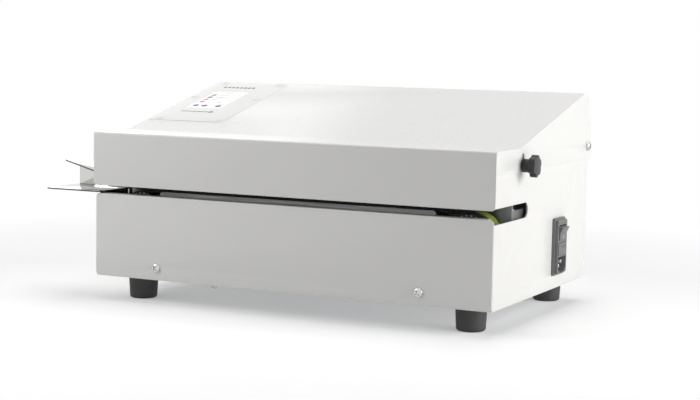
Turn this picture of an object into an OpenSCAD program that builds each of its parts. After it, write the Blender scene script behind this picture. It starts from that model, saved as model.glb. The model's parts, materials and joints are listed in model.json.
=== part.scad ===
// Counter-top pouch sealer that draws a pouch through from left to right.
// The pouch's edge runs between two toothed belts, two heated bars and a pair of
// pressure wheels. The casing is folded steel sheet, and the lid lifts on two screws.
// Casing frame: x = 0 is the middle of the casing, y = 0 the face of the lower front
// panel and z = 0 the underside of the casing. The part's own origin is the middle of
// the whole outline, at the level of the feet.

/* [Casing] */
// Width of the base casing, side to side
casing_w = 450; // [420:5:520]
// Depth of the base casing, front panel to rear wall
casing_d = 280; // [270:5:340]
// Thickness of the folded steel sheet
sheet_t = 1.5; // [1:0.1:2]
// Outside radius of a bend in the sheet
bend_r = 2.5; // [2:0.5:4]
// Height of the lower front panel
lower_panel_h = 87.5; // [84:0.5:100]
// Gap between the lower and the upper front panel, where pouches pass
front_gap = 8.8; // [7:0.1:12]
// Radius of the front panels' outer corners
panel_corner_r = 4.5; // [3:0.5:10]
// Drop of the side slots below the lower front panel's edge
slot_drop = 5.1; // [3:0.1:8]
// Height of the side slots
slot_h = 15.3; // [12:0.1:20]
// Depth of the right side slot, from the front to its round end
slot_d = 92.7; // [80:0.1:110]
// Height of the seam between the base and the lid's cheeks
seam_z = 129.2; // [126:0.1:140]
// Height that the base's side walls rise inside the lid
wall_rise = 15; // [12:0.5:18]
// Width of a cooling slot
vent_w = 3; // [2:0.5:4]
// Length of a cooling slot
vent_l = 32; // [20:1:40]
// Distance from one cooling slot to the next
vent_pitch = 8; // [7:0.5:12]
// Cooling slots in each group
vent_count = 9; // [3:1:11]

/* [Lid] */
// Height of the lid's flat ledge above the seam
ledge_h = 22.9; // [20:0.1:30]
// Depth of the ledge, from the front panel's face to the slope
ledge_d = 64.1; // [50:0.1:80]
// Angle of the slope that carries the screen
slope_angle = 14; // [10:0.5:18]
// Outside radius of the bend at the top of the slope
ridge_r = 14; // [8:0.5:20]
// Gap between the lid's cheeks and the base's walls
cheek_gap = 0.4; // [0.3:0.1:1]
// Gap between the rear walls of the lid and the base
rear_gap = 1; // [0.6:0.1:2]
// Distance of the hinge line from the rear of the base
hinge_inset = 9.7; // [9:0.1:12]
// Height of the hinge line above the seam
hinge_rise = 14.6; // [13:0.1:18]

/* [Feet] */
// Height of a rubber foot
foot_h = 26; // [15:0.5:40]
// Radius of a foot at the casing
foot_top_r = 15.8; // [12:0.1:20]
// Radius of a foot near the counter
foot_low_r = 14.7; // [11:0.1:19]
// Distance of the feet from the casing's sides
foot_side_inset = 35.5; // [25:0.5:60]
// Distance of the front feet from the front panel
foot_front_inset = 38; // [25:0.5:50]
// Distance of the rear feet from the rear wall
foot_rear_inset = 22.5; // [20:0.5:50]

/* [Knobs] */
// Distance of the knobs from the front panel
knob_y = 69; // [60:0.5:100]
// Height of the knobs above the seam
knob_rise = 6; // [5:0.5:8]
// Radius over a knob's lobes
knob_r = 11; // [9:0.1:15]
// Thickness of a knob's lobed head
knob_head_t = 6.5; // [5:0.5:9]
// Radius of a knob's neck
knob_neck_r = 6.6; // [6:0.1:9]
// Length of a knob's neck
knob_neck_l = 8.7; // [6:0.1:12]
// Lobes on a knob
knob_lobes = 6; // [5:1:9]
// Radius of the stud that a knob turns on
stud_r = 2.5; // [2:0.5:3]

/* [Mains inlet] */
// Height of the inlet's flange
inlet_h = 59.5; // [58:0.5:64]
// Width of the inlet's flange
inlet_w = 32; // [31:0.5:36]
// Distance of the inlet's middle from the front panel
inlet_y = 184; // [160:1:200]
// Height of the inlet's middle above the casing's underside
inlet_z = 44; // [40:1:48]

/* [Drive] */
// Radius of the pressure wheels and of the belts' bends
wheel_r = 25.5; // [23:0.5:27]
// Width of the pressure wheels
wheel_w = 16; // [12:0.5:18]
// Gap between the upper and the lower wheels
nip_gap = 0.5; // [0.4:0.1:1]
// Height of the pouch's path above the lower front panel
path_rise = 2.5; // [2:0.1:4]
// Distance of the drive shafts from the casing's sides
shaft_inset = 37.5; // [35:0.5:60]
// Radius of the four shafts
shaft_r = 6; // [4:0.5:7]
// Width of a toothed belt
belt_w = 10; // [8:0.5:12]
// Whole thickness of a toothed belt
belt_t = 2.2; // [1.8:0.1:3]
// Distance from one belt tooth to the next
belt_pitch = 5; // [4:0.5:8]
// Teeth on each gear of the drive shafts
gear_teeth = 34; // [28:2:40]
// Teeth on the motor's pinion
pinion_teeth = 17; // [15:1:20]
// Width of the gears
gear_w = 8; // [6:0.5:10]
// Play between meshed teeth
tooth_play = 0.3; // [0.2:0.05:0.5]

/* [Sealing] */
// Length of the heated bars
heater_l = 120; // [80:5:150]
// Height of a heated bar
heater_h = 13; // [10:0.5:16]
// Lift of the upper heated bar as a pouch goes under it
heater_lift = 1.5; // [1:0.1:2]
// Distance of the front bar from the front panel's face
bar_y = 28; // [25:0.5:30]
// Distance from the front bar's left end to the casing's side
bar_left_gap = 61.5; // [60:0.5:90]
// Distance from the front bar's right end to the casing's side
bar_right_gap = 70.8; // [68:0.1:90]

/* [Tray] */
// Reach of the tray beyond the left side wall
tray_reach = 61; // [40:1:80]
// Depth of the tray
tray_d = 59; // [56:1:60]
// Height of the flared plate's tip above the tray
flare_h = 28.3; // [20:0.1:32]
// Angle at which the flared plate comes down towards the slot
flare_angle = 14.6; // [8:0.1:16]
// Depth of the flared plate
flare_d = 29.4; // [20:0.1:34]

/* [Panel and screen] */
// Width of the printed panel
panel_w = 94.4; // [80:0.1:120]
// Length of the printed panel along the slope
panel_l = 157; // [120:1:165]
// Thickness of the printed panel
panel_t = 0.8; // [0.5:0.1:1.2]
// Distance of the printed panel from the foot of the slope
panel_start = 40; // [25:1:40]
// Width of the screen
screen_w = 43; // [36:0.5:60]
// Length of the screen along the slope
screen_l = 65; // [50:0.5:80]
// Distance from the printed panel's left edge to the screen
screen_x = 19.6; // [12:0.1:20]
// Distance from the printed panel's lower edge to the screen
screen_start = 51; // [40:1:60]

/* [Hidden] */
$fn = 48;

// Cuts run past their faces by this much
over = 1;
// Play of a part that sits loosely in its place
loose = 0.3;
// Radial play of a shaft or pin that turns in its bore
running = 0.05;

// Levels of the casing
half_w = casing_w / 2;
inner_half_w = half_w - sheet_t;
path_z = lower_panel_h + path_rise;
upper_panel_z = lower_panel_h + front_gap;
slot_z = lower_panel_h - slot_drop;
wall_top = seam_z + wall_rise;
ledge_z = seam_z + ledge_h;

// Outline of the lid
lid_half_w = half_w + cheek_gap + sheet_t;
front_step = 0.4;
lid_front_y = -front_step - sheet_t;
slope_y = lid_front_y + ledge_d;
lid_rear_y = casing_d + rear_gap + sheet_t;
ridge_z = (ledge_z + (lid_rear_y - slope_y) * tan(slope_angle) + ledge_z * pow(tan(slope_angle), 2))
  / (1 + pow(tan(slope_angle), 2));
ridge_y = lid_rear_y - (ridge_z - ledge_z) * tan(slope_angle);
slope_l = (ridge_y - slope_y) / cos(slope_angle);
cheek_corner_r = 4;
ledge_bend_r = 2;

// Hinge line
hinge_y = casing_d - hinge_inset;
hinge_z = seam_z + hinge_rise;
hinge_ear_r = 8.5;
hinge_pin_r = 3;
hinge_head_r = 5.5;
hinge_head_h = 3.3;
hinge_key_r = 2.1;
hinge_key_d = 1.8;
hinge_nut_r = 5;
hinge_nut_t = 4;
swing_r = sqrt(pow(lid_rear_y - hinge_y, 2) + pow(hinge_rise, 2));
swing_gap = 1.2;
rear_wall_top = hinge_z - swing_r - swing_gap;
ear_gap = 0.6;
relief_margin = 2;

// Knobs
knob_z = seam_z + knob_rise;
knob_slot_w = 7;
knob_slot_rise = 12;
knob_slot_top = knob_z + knob_slot_rise;
knob_lobe_r = 4.6;
knob_turn_share = 0.83;
knob_cap_t = 2.5;
knob_bore_l = knob_neck_l + knob_head_t - knob_cap_t;
stud_flange_r = 7;
stud_flange_t = 3;

// Pan-head screws of the casing
pan_head_r = 4.9;
pan_head_h = 2.4;
pan_shank_r = 2.5;
pan_shank_l = 9;
pan_edge_share = 0.55;
pan_dome_share = 0.28;
screw_play = 0.1;
cross_w = 1.7;
cross_l = 5.4;
cross_d = 1.9;
cross_turn = 40;
panel_screw_inset = 75.5;
panel_screw_x = half_w - panel_screw_inset;
panel_screw_z = 12.7;

// Bottom plate
plate_gap = 0.2;
inlet_notch_gap = 1;
flange_h = 18;
panel_lip_d = 12;
panel_lip_in = 3;

// Drive
bar_t = 2;
belt_bar_gap = 1.5;
belt_y = bar_y + bar_t + belt_bar_gap;
pulley_side_gap = 0.1;
pulley_flange_t = 1;
wheel_y = belt_y + belt_w + pulley_flange_t + 2 * pulley_side_gap;
bush_r = 9;
bush_flange_r = 12;
bush_flange_t = 1.5;
bush_l = 9;
hub_step = 0.5;
frame_t = 2.5;
frame_y = wheel_y + wheel_w + hub_step + loose + bush_flange_t;
gear_gap = 1.5;
gear_y = frame_y + frame_t + bush_l + gear_gap;
shaft_x = half_w - shaft_inset;
lower_axis_z = path_z - nip_gap / 2 - wheel_r;
upper_axis_z = path_z + nip_gap / 2 + wheel_r;
gear_pitch_r = wheel_r + nip_gap / 2;
gear_module = 2 * gear_pitch_r / gear_teeth;
pinion_pitch_r = gear_module * pinion_teeth / 2;
pinion_x = shaft_x - gear_pitch_r - pinion_pitch_r;
belt_back_share = 0.45;
belt_tooth_share = 0.5;
belt_back_t = belt_t * belt_back_share;
pulley_gap = 0.3;
pulley_r = wheel_r - belt_t - pulley_gap;
pulley_flange_drop = 1;
pulley_flange_r = wheel_r - pulley_flange_drop;
pulley_grooves = 28;
groove_d = 1.3;
groove_w = 2;
hub_r = 11;
roller_holes = 6;
roller_hole_r = 3.5;
tyre_t = 6.5;

// Frame
frame_side_gap = 5;
frame_half_w = half_w - frame_side_gap;
frame_top_margin = 22;
frame_top = upper_axis_z + frame_top_margin;
frame_foot_d = 22;
frame_flange_d = 32;
frame_corner = 18;
frame_window_r = 3;
frame_bottom = sheet_t;
frame_screw_in = 13;
frame_screw_shares = [-0.85, -0.2, 0.35, 0.85];
frame_window_shares = [[-0.5, -0.15], [0.1, 0.5]];
m4_r = 2;
m4_head_r = 3.8;
m4_head_h = 2.6;
m4_short_l = 6;
m4_long_l = 8;

// Pillars, beds and heaters
pillar_r = 4;
pillar_right_share = 0.6;
pillar_gap = 1;
pillar_offset = 2;
lower_pillar_z = lower_axis_z + pillar_offset;
upper_pillar_z = upper_axis_z - pillar_offset;
pillar_tap_l = 10;
bar_h = 42;
bar_corner_r = 4;
bed_gap = 0.3;
bed_t = 4.5;
bed_web_t = 3;
bed_web_margin = 2;
bed_side_gap = 0.6;
bed_end_gap = 48;
bed_half_l = shaft_x - bed_end_gap;
heater_step = 0.8;
heater_y = wheel_y + heater_step;
heater_rear_step = 1.8;
heater_w = wheel_w - heater_step - heater_rear_step;
heater_shift = 57;
heater_x = -heater_shift - heater_l / 2;
heater_ease_l = 6;
heater_ease_h = 1.2;
cartridge_r = 3.1;
pad_w = 16;
pad_h = 8;
pad_share = 0.3;
hanger_t = 2;
hanger_h = 11;
hanger_up = 14;
hanger_end_gap = 8;
// Two of the pillars stand just clear of the hanger
pillar_xs = [heater_x + hanger_end_gap - pillar_gap - pillar_r,
  heater_x + heater_l - hanger_end_gap + pillar_gap + pillar_r, pillar_right_share * shaft_x];
spring_r = 3.2;
spring_wire_r = 0.5;
spring_turns = 5;
spring_peg_h = 3;
spring_share = 0.32;

// Motor
motor_gap = 3;
bracket_t = 2.5;
bracket_half_w = 26;
bracket_foot_d = 22;
bracket_margin = 3;
bracket_screw_in = 8;
gearbox_r = 18.5;
gearbox_l = 26;
can_r = 17;
can_l = 44;
motor_shaft_r = 3;
motor_boss_r = 6;
motor_boss_l = 2;
motor_tag_r = 1;
motor_tag_l = 4;

// Tray
tray_t = 1.5;
tray_front = -3;
tray_back = tray_front + tray_d;
tray_belt_gap = 4.5;
tray_in_x = -shaft_x - wheel_r - tray_belt_gap;
tray_out_x = -half_w - tray_reach;
tray_lip_step = 4;
tray_tab_h = 20;
tray_tab_screw_drop = 12;
tray_screw_shares = [0.35, 0.75];
guide_end_h = 6;
flare_tip_step = 2.4;
flare_tip_x = tray_out_x + flare_tip_step;
flare_overlap = 4;
flare_in_x = -shaft_x - wheel_r + flare_overlap;
flare_tip_z = path_z + flare_h;
flare_wall_z = flare_tip_z - (-half_w - flare_tip_x) * tan(flare_angle);
window_gap = 3;

// Whole outline, which sets the origin
out_left = tray_out_x;
out_right = lid_half_w + loose + knob_neck_l + knob_head_t;
out_front = tray_front;
out_rear = max(lid_rear_y, casing_d + pan_head_h);

// Moves a piece from the casing frame to the part's own frame
module placed() {
  translate([-(out_left + out_right) / 2, -(out_front + out_rear) / 2, foot_h]) children();
}

// Extrudes an outline drawn in x and z along y, from y0
module slab_y(y0, t) {
  translate([0, y0 + t, 0]) rotate([90, 0, 0]) linear_extrude(t) children();
}

// Extrudes an outline drawn in y and z along x, from x0
module slab_x(x0, t) {
  translate([x0, 0, 0]) rotate([90, 0, 90]) linear_extrude(t) children();
}

// Round bar along y
module rod_y(r, y0, y1) {
  translate([0, y0, 0]) rotate([-90, 0, 0]) cylinder(r = r, h = y1 - y0);
}

// Round bar along x
module rod_x(r, x0, x1) {
  translate([x0, 0, 0]) rotate([0, 90, 0]) cylinder(r = r, h = x1 - x0);
}

// Rectangle between two corners
module area(x0, y0, x1, y1) {
  translate([x0, y0]) square([x1 - x0, y1 - y0]);
}

// Block between two corners
module block(a, b) {
  translate(a) cube(b - a);
}

// Rectangle between two corners with round corners
module round_area(x0, y0, x1, y1, r) {
  area(x0 + r, y0, x1 - r, y1);
  area(x0, y0 + r, x1, y1 - r);
  for (x = [x0 + r, x1 - r], y = [y0 + r, y1 - r]) translate([x, y]) circle(r);
}

// Points along an arc
function arc(c, r, a0, a1, steps = 8) =
  [for (i = [0:steps]) c + r * [cos(a0 + (a1 - a0) * i / steps), sin(a0 + (a1 - a0) * i / steps)]];

// Pan-head screw with a cross recess: head on +z, seat at z = 0, shank below
module pan_screw(head_r, head_h, shank_r, shank_l) {
  edge = head_h * pan_edge_share;
  scale_cross = head_r / pan_head_r;
  difference() {
    union() {
      rotate_extrude() polygon(concat([[0, 0], [head_r, 0]],
        [for (i = [0:3]) [head_r * (1 - pan_dome_share * pow(i / 3, 2)), head_h - edge * (1 - i / 3)]],
        [[0, head_h]]));
      translate([0, 0, -shank_l]) cylinder(r = shank_r, h = shank_l);
    }
    for (a = [0, 90])
      rotate([0, 0, a + cross_turn])
        translate([-cross_l / 2 * scale_cross, -cross_w / 2 * scale_cross, head_h - cross_d * scale_cross])
          cube([cross_l * scale_cross, cross_w * scale_cross, cross_d * scale_cross + over]);
  }
}

// Panels and shells

module vent_rows(x0, z0) {
  for (i = [0:vent_count - 1])
    translate([x0 + i * vent_pitch, z0]) {
      area(-vent_w / 2, -vent_l / 2 + vent_w / 2, vent_w / 2, vent_l / 2 - vent_w / 2);
      for (s = [-1, 1]) translate([0, s * (vent_l - vent_w) / 2]) circle(vent_w / 2);
    }
}

vent_group_w = (vent_count - 1) * vent_pitch;
vent_x_share = 0.52;
vent_x = half_w * vent_x_share;
vent_y_share = 0.72;
vent_z_share = 0.6;

module bottom_plate() {
  x1 = inner_half_w - plate_gap;
  y0 = sheet_t + plate_gap;
  y1 = casing_d - sheet_t - plate_gap;
  color("gainsboro") placed() difference() {
    union() {
      block([-x1, y0, 0], [x1, y1, sheet_t]);
      block([-x1, y0, 0], [x1, y0 + sheet_t, flange_h]);
      block([-x1, y1 - sheet_t, 0], [x1, y1, flange_h]);
      for (s = [-1, 1])
        block([min(s * x1, s * (x1 - sheet_t)), y0, 0], [max(s * x1, s * (x1 - sheet_t)), y1, flange_h]);
    }
    // Notch that clears the mains inlet
    block([x1 - sheet_t - over, inlet_y - inlet_cut_w / 2 - inlet_notch_gap,
      inlet_z - inlet_cut_h / 2 - inlet_notch_gap],
      [x1 + over, inlet_y + inlet_cut_w / 2 + inlet_notch_gap, inlet_z]);
    for (x = [-foot_x, foot_x], y = [foot_front_inset, foot_rear_y])
      translate([x, y, -over]) cylinder(r = pan_shank_r + screw_play, h = sheet_t + 2 * over);
    for (x = [-panel_screw_x, panel_screw_x])
      translate([x, 0, panel_screw_z]) rod_y(pan_shank_r + screw_play, 0, y0 + sheet_t + over);
    for (x = [-panel_screw_x, 0, panel_screw_x])
      translate([x, 0, panel_screw_z]) rod_y(pan_shank_r + screw_play, y1 - sheet_t - over, casing_d);
    for (f = frame_screw_shares)
      translate([f * frame_half_w, frame_y + frame_screw_in, -over])
        cylinder(r = m4_r + screw_play, h = sheet_t + 2 * over);
    for (x = bracket_screw_xs)
      translate([x, bracket_screw_y, -over]) cylinder(r = m4_r + screw_play, h = sheet_t + 2 * over);
    translate([0, 0, -over]) linear_extrude(sheet_t + 2 * over)
      for (s = [-1, 1]) vent_rows(s * vent_x - vent_group_w / 2, casing_d * vent_y_share);
  }
}

foot_x = half_w - foot_side_inset;
foot_rear_y = casing_d - foot_rear_inset;

// Opening of the left wall above the slot, for the flared plate
window_top = flare_wall_z + tray_t + window_gap;

module side_slot(x0, t) {
  r = slot_h / 2;
  slab_x(x0, t) {
    area(-over, slot_z, slot_d - r, slot_z + slot_h);
    translate([slot_d - r, slot_z + r]) circle(r);
  }
}

inlet_cut_in = 2.5;
inlet_cut_end = 1.4;
inlet_cut_r = 1;
inlet_cut_w = inlet_w - 2 * inlet_cut_in;
inlet_cut_h = inlet_h - 2 * inlet_cut_end;

module base_shell() {
  y0 = sheet_t + plate_gap;
  color("whitesmoke") placed() difference() {
    union() {
      difference() {
        linear_extrude(wall_top) difference() {
          union() {
            area(-half_w, y0, half_w, casing_d - bend_r);
            round_area(-half_w, casing_d - 4 * bend_r, half_w, casing_d, bend_r);
          }
          round_area(-inner_half_w, -casing_d, inner_half_w, casing_d - sheet_t, bend_r - sheet_t);
        }
        // Rear wall stops below the path of the lid's rear edge
        block([-inner_half_w, hinge_y - hinge_ear_r, rear_wall_top],
          [inner_half_w, casing_d + over, wall_top + over]);
        // Corners cleared for the lid's rear wall
        block([-half_w - over, hinge_y + hinge_ear_r, rear_wall_top],
          [half_w + over, casing_d + over, wall_top + over]);
        // Side walls step down before the hinge ears
        block([-half_w - over, hinge_y - 3 * hinge_ear_r, seam_z + sheet_t],
          [half_w + over, hinge_y - hinge_ear_r, wall_top + over]);
        block([-half_w - over, hinge_y - hinge_ear_r - over, hinge_z],
          [half_w + over, casing_d + over, wall_top + over]);
      }
      for (s = [-1, 1])
        translate([0, hinge_y, hinge_z])
          rod_x(hinge_ear_r, min(s * half_w, s * inner_half_w), max(s * half_w, s * inner_half_w));
    }
    side_slot(inner_half_w - over, sheet_t + 2 * over);
    // The left slot ends just behind the tray's back wall
    slab_x(-half_w - over, sheet_t + 2 * over)
      area(-over, slot_z, tray_back + tray_t + window_gap, slot_z + slot_h);
    slab_x(-half_w - over, sheet_t + 2 * over)
      area(tray_back - flare_d - window_gap, slot_z + slot_h - over,
        tray_back + tray_t + window_gap, window_top);
    slab_x(inner_half_w - over, sheet_t + 2 * over)
      round_area(inlet_y - inlet_cut_w / 2, inlet_z - inlet_cut_h / 2,
        inlet_y + inlet_cut_w / 2, inlet_z + inlet_cut_h / 2, inlet_cut_r);
    for (x = [-half_w, half_w]) {
      translate([x, hinge_y, hinge_z]) rod_x(hinge_pin_r + running, -2 * sheet_t, 2 * sheet_t);
      translate([x, knob_y, knob_z]) rod_x(stud_r + running, -2 * sheet_t, 2 * sheet_t);
    }
    for (y = tray_screw_shares)
      translate([-half_w, tray_back * y, tray_screw_z]) rod_x(m4_r + screw_play, -over, sheet_t + over);
    for (x = [-panel_screw_x, 0, panel_screw_x])
      translate([x, casing_d, panel_screw_z]) rod_y(pan_shank_r + screw_play, -sheet_t - over, over);
    slab_y(casing_d - sheet_t - over, sheet_t + 2 * over)
      for (s = [-1, 1]) vent_rows(s * vent_x - vent_group_w / 2, lower_panel_h * vent_z_share);
  }
}

module lower_front_panel() {
  color("gainsboro") placed() difference() {
    union() {
      slab_y(0, sheet_t) round_area(-half_w, 0, half_w, lower_panel_h, panel_corner_r);
      // Lip folded back along the panel's upper edge
      block([-half_w + panel_corner_r + panel_lip_in, 0, lower_panel_h - sheet_t],
        [half_w - panel_corner_r - panel_lip_in, panel_lip_d, lower_panel_h]);
    }
    for (x = [-panel_screw_x, panel_screw_x])
      translate([x, 0, panel_screw_z]) rod_y(pan_shank_r + screw_play, -over, sheet_t + over);
  }
}

module panel_screws() {
  color("silver") placed()
    for (s = [-1, 1])
      translate([s * panel_screw_x, 0, panel_screw_z]) rotate([90, 0, 0])
        pan_screw(pan_head_r, pan_head_h, pan_shank_r, pan_shank_l);
}

module base_screws() {
  color("silver") placed()
    for (x = [-panel_screw_x, 0, panel_screw_x])
      translate([x, casing_d, panel_screw_z]) rotate([-90, 0, 0])
        pan_screw(pan_head_r, pan_head_h, pan_shank_r, pan_shank_l);
}

// Feet

foot_edge_r = 3;
foot_bore_r = 6;
foot_floor_t = 8;

module foot_at(x, y) {
  placed() translate([x, y, 0]) difference() {
    rotate_extrude() polygon(concat([[0, 0], [foot_top_r, 0]],
      arc([foot_low_r - foot_edge_r, -foot_h + foot_edge_r], foot_edge_r, 0, -90, 5), [[0, -foot_h]]));
    translate([0, 0, -foot_h - over]) cylinder(r = foot_bore_r, h = foot_h - foot_floor_t + over);
    translate([0, 0, -foot_h - over]) cylinder(r = pan_shank_r + screw_play, h = foot_h + 2 * over);
  }
}

module foot_front_left() { color("dimgray") foot_at(-foot_x, foot_front_inset); }
module foot_front_right() { color("dimgray") foot_at(foot_x, foot_front_inset); }
module foot_rear_left() { color("dimgray") foot_at(-foot_x, foot_rear_y); }
module foot_rear_right() { color("dimgray") foot_at(foot_x, foot_rear_y); }

module foot_screws() {
  color("silver") placed()
    for (x = [-foot_x, foot_x], y = [foot_front_inset, foot_rear_y])
      translate([x, y, -foot_floor_t]) mirror([0, 0, 1])
        pan_screw(pan_head_r, pan_head_h, pan_shank_r, foot_floor_t + sheet_t + pan_shank_r);
}

// Mains inlet: rocker above, fuse drawer in the middle, appliance inlet below

inlet_step_t = 3;
inlet_face_t = 6;
inlet_step_in = 2;
inlet_body_d = 28;
inlet_corner_r = 2;
rocker_rise = 14.4;
rocker_z = inlet_z + rocker_rise;
rocker_w = 21;
rocker_h = 15.5;
rocker_d = 12;
rocker_tilt = 14;
rocker_end_gap = 0.6;
rocker_lip = 4;
rocker_dip = 2.6;
rocker_sink = 1.4;
rocker_rear_gap = 2;
rocker_pin_r = 0.9;
rocker_pin_l = 1.4;
rocker_room = rocker_d + rocker_rear_gap;
fuse_drop = 2.6;
fuse_z = inlet_z - fuse_drop;
fuse_w = 24;
fuse_h = 13;
fuse_d = 24;
drawer_wall = 1.6;
drawer_proud = 0.6;
drawer_grip_w = 1.8;
drawer_grip_d = 0.8;
drawer_grip_in = 3;
fuse_r = 2.6;
fuse_l = 17.2;
fuse_side = 5.2;
socket_drop = 18.8;
socket_z = inlet_z - socket_drop;
socket_w = 24.4;
socket_h = 16.4;
socket_d = 17;
socket_corner = 5;
pin_t = 2;
pin_h = 4;
pin_l = 14;
pin_side = 7;
pin_rise = 2;
pin_tail_l = 9;
inlet_x = half_w;

// Mouth of the inlet, with its two lower corners cut off
module socket_shape(play = 0) {
  w = socket_w / 2 + play;
  z0 = socket_z - socket_h / 2 - play;
  z1 = socket_z + socket_h / 2 + play;
  polygon([[inlet_y - w, z1], [inlet_y - w, z0 + socket_corner], [inlet_y - w + socket_corner, z0],
    [inlet_y + w - socket_corner, z0], [inlet_y + w, z0 + socket_corner], [inlet_y + w, z1]]);
}

module inlet_housing() {
  color("dimgray") placed() difference() {
    union() {
      slab_x(inlet_x, inlet_step_t)
        round_area(inlet_y - inlet_w / 2, inlet_z - inlet_h / 2,
          inlet_y + inlet_w / 2, inlet_z + inlet_h / 2, inlet_corner_r);
      slab_x(inlet_x, inlet_face_t)
        round_area(inlet_y - inlet_w / 2 + inlet_step_in, inlet_z - inlet_h / 2 + inlet_step_in,
          inlet_y + inlet_w / 2 - inlet_step_in, inlet_z + inlet_h / 2 - inlet_step_in, inlet_corner_r);
      slab_x(inlet_x - inlet_body_d, inlet_body_d)
        area(inlet_y - inlet_cut_w / 2 + loose, inlet_z - inlet_cut_h / 2 + loose,
          inlet_y + inlet_cut_w / 2 - loose, inlet_z + inlet_cut_h / 2 - loose);
    }
    slab_x(inlet_x + inlet_face_t - rocker_room, rocker_room + over)
      area(inlet_y - rocker_w / 2 - loose, rocker_z - rocker_h / 2 - loose,
        inlet_y + rocker_w / 2 + loose, rocker_z + rocker_h / 2 + loose);
    translate([rocker_axis_x, inlet_y, rocker_z])
      rod_y(rocker_pin_r + screw_play, -rocker_w / 2 - rocker_pin_l, rocker_w / 2 + rocker_pin_l);
    slab_x(inlet_x + inlet_face_t - fuse_d - loose, fuse_d + loose + over)
      area(inlet_y - fuse_w / 2 - loose, fuse_z - fuse_h / 2 - loose,
        inlet_y + fuse_w / 2 + loose, fuse_z + fuse_h / 2 + loose);
    slab_x(inlet_x + inlet_face_t - socket_d, socket_d + over) socket_shape();
    for (s = [-1, 0, 1])
      slab_x(inlet_x - inlet_body_d - over, inlet_body_d)
        area(inlet_y + s * pin_side - pin_t / 2 - screw_play, socket_z - pin_h / 2 + pin_up(s) - screw_play,
          inlet_y + s * pin_side + pin_t / 2 + screw_play, socket_z + pin_h / 2 + pin_up(s) + screw_play);
  }
}

// The middle pin, for the earth, lies towards the cut corners
function pin_up(s) = s == 0 ? -pin_rise : pin_rise;

module inlet_pins() {
  x0 = inlet_x - inlet_body_d - pin_tail_l;
  x1 = inlet_x + inlet_face_t - socket_d + pin_l;
  color("silver") placed()
    for (s = [-1, 0, 1])
      slab_x(x0, x1 - x0)
        area(inlet_y + s * pin_side - pin_t / 2, socket_z - pin_h / 2 + pin_up(s),
          inlet_y + s * pin_side + pin_t / 2, socket_z + pin_h / 2 + pin_up(s));
}

// Rocker: a shallow V of two faces that tips on its own axis
rocker_axis_x = inlet_x + inlet_face_t - rocker_sink;

module power_rocker() {
  half = rocker_h / 2 - rocker_end_gap;
  side = rocker_w / 2 - loose;
  color("dimgray") placed()
    translate([rocker_axis_x, inlet_y, rocker_z]) rotate([0, rocker_tilt, 0]) union() {
      slab_y(-side, 2 * side)
        polygon(concat([[rocker_lip, -half], [rocker_dip, 0], [rocker_lip, half]],
          arc([0, 0], half - loose, 75, 285, 12)));
      // Pivot pins
      rod_y(rocker_pin_r, -side - rocker_pin_l, side + rocker_pin_l);
    }
}

module fuse_drawer() {
  x1 = inlet_x + inlet_face_t + drawer_proud;
  x0 = inlet_x + inlet_face_t - fuse_d + loose;
  color("dimgray") placed() difference() {
    block([x0, inlet_y - fuse_w / 2, fuse_z - fuse_h / 2], [x1, inlet_y + fuse_w / 2, fuse_z + fuse_h / 2]);
    block([x0 + drawer_wall, inlet_y - fuse_w / 2 + drawer_wall, fuse_z - fuse_h / 2 + drawer_wall],
      [x1 - 2 * drawer_wall, inlet_y + fuse_w / 2 - drawer_wall, fuse_z + fuse_h / 2 + over]);
    // Grip groove across the drawer's face
    block([x1 - drawer_grip_d, inlet_y - fuse_w / 2 + drawer_grip_in, fuse_z + drawer_grip_w],
      [x1 + over, inlet_y + fuse_w / 2 - drawer_grip_in, fuse_z + 2 * drawer_grip_w]);
  }
}

module fuses() {
  x1 = inlet_x + inlet_face_t - 2 * drawer_wall;
  z = fuse_z - fuse_h / 2 + drawer_wall + fuse_r;
  color("lightgray") placed()
    for (s = [-1, 1]) translate([x1, inlet_y + s * fuse_side, z]) rod_x(fuse_r, -fuse_l, 0);
}

// Tray at the left

tray_screw_z = path_z - tray_t - tray_tab_screw_drop;

module infeed_tray() {
  tab_x = -inner_half_w;
  color("silver") placed() difference() {
    union() {
      slab_z_area(tray_out_x, tray_front, -half_w + tray_lip_step, tray_back, path_z - tray_t);
      slab_z_area(-half_w, tray_front + 2 * tray_lip_step, tray_in_x, tray_back, path_z - tray_t);
      // Tab that the tray hangs by, inside the wall
      block([tab_x, tray_front + 2 * tray_lip_step, path_z - tray_t - tray_tab_h],
        [tab_x + tray_t, tray_back, path_z]);
    }
    for (y = tray_screw_shares)
      translate([tab_x, tray_back * y, tray_screw_z]) rod_x(m4_r + screw_play, -over, tray_t + over);
  }
}

module slab_z_area(x0, y0, x1, y1, z0) {
  translate([0, 0, z0]) linear_extrude(tray_t) area(x0, y0, x1, y1);
}

// Back wall of the tray and the flared plate above it, folded in one piece
module infeed_guide() {
  run = flare_in_x - flare_tip_x;
  drop = run * tan(flare_angle);
  color("silver") placed() union() {
    slab_y(tray_back, tray_t)
      polygon([[tray_out_x, path_z - tray_t], [tray_out_x, flare_tip_z - tray_t],
        [flare_tip_x, flare_tip_z], [flare_in_x, flare_tip_z - drop],
        [tray_in_x, path_z + guide_end_h], [tray_in_x, path_z - tray_t]]);
    slab_y(tray_back - flare_d, flare_d)
      polygon([[flare_tip_x, flare_tip_z - tray_t], [flare_tip_x, flare_tip_z],
        [flare_in_x, flare_tip_z - drop], [flare_in_x, flare_tip_z - drop - tray_t]]);
  }
}

module infeed_screws() {
  color("silver") placed()
    for (y = tray_screw_shares)
      translate([-half_w, tray_back * y, tray_screw_z]) rotate([0, -90, 0])
        pan_screw(m4_head_r, m4_head_h, m4_r, m4_short_l);
}

// Upright plate that carries the shafts, with end flanges and a foot

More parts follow.
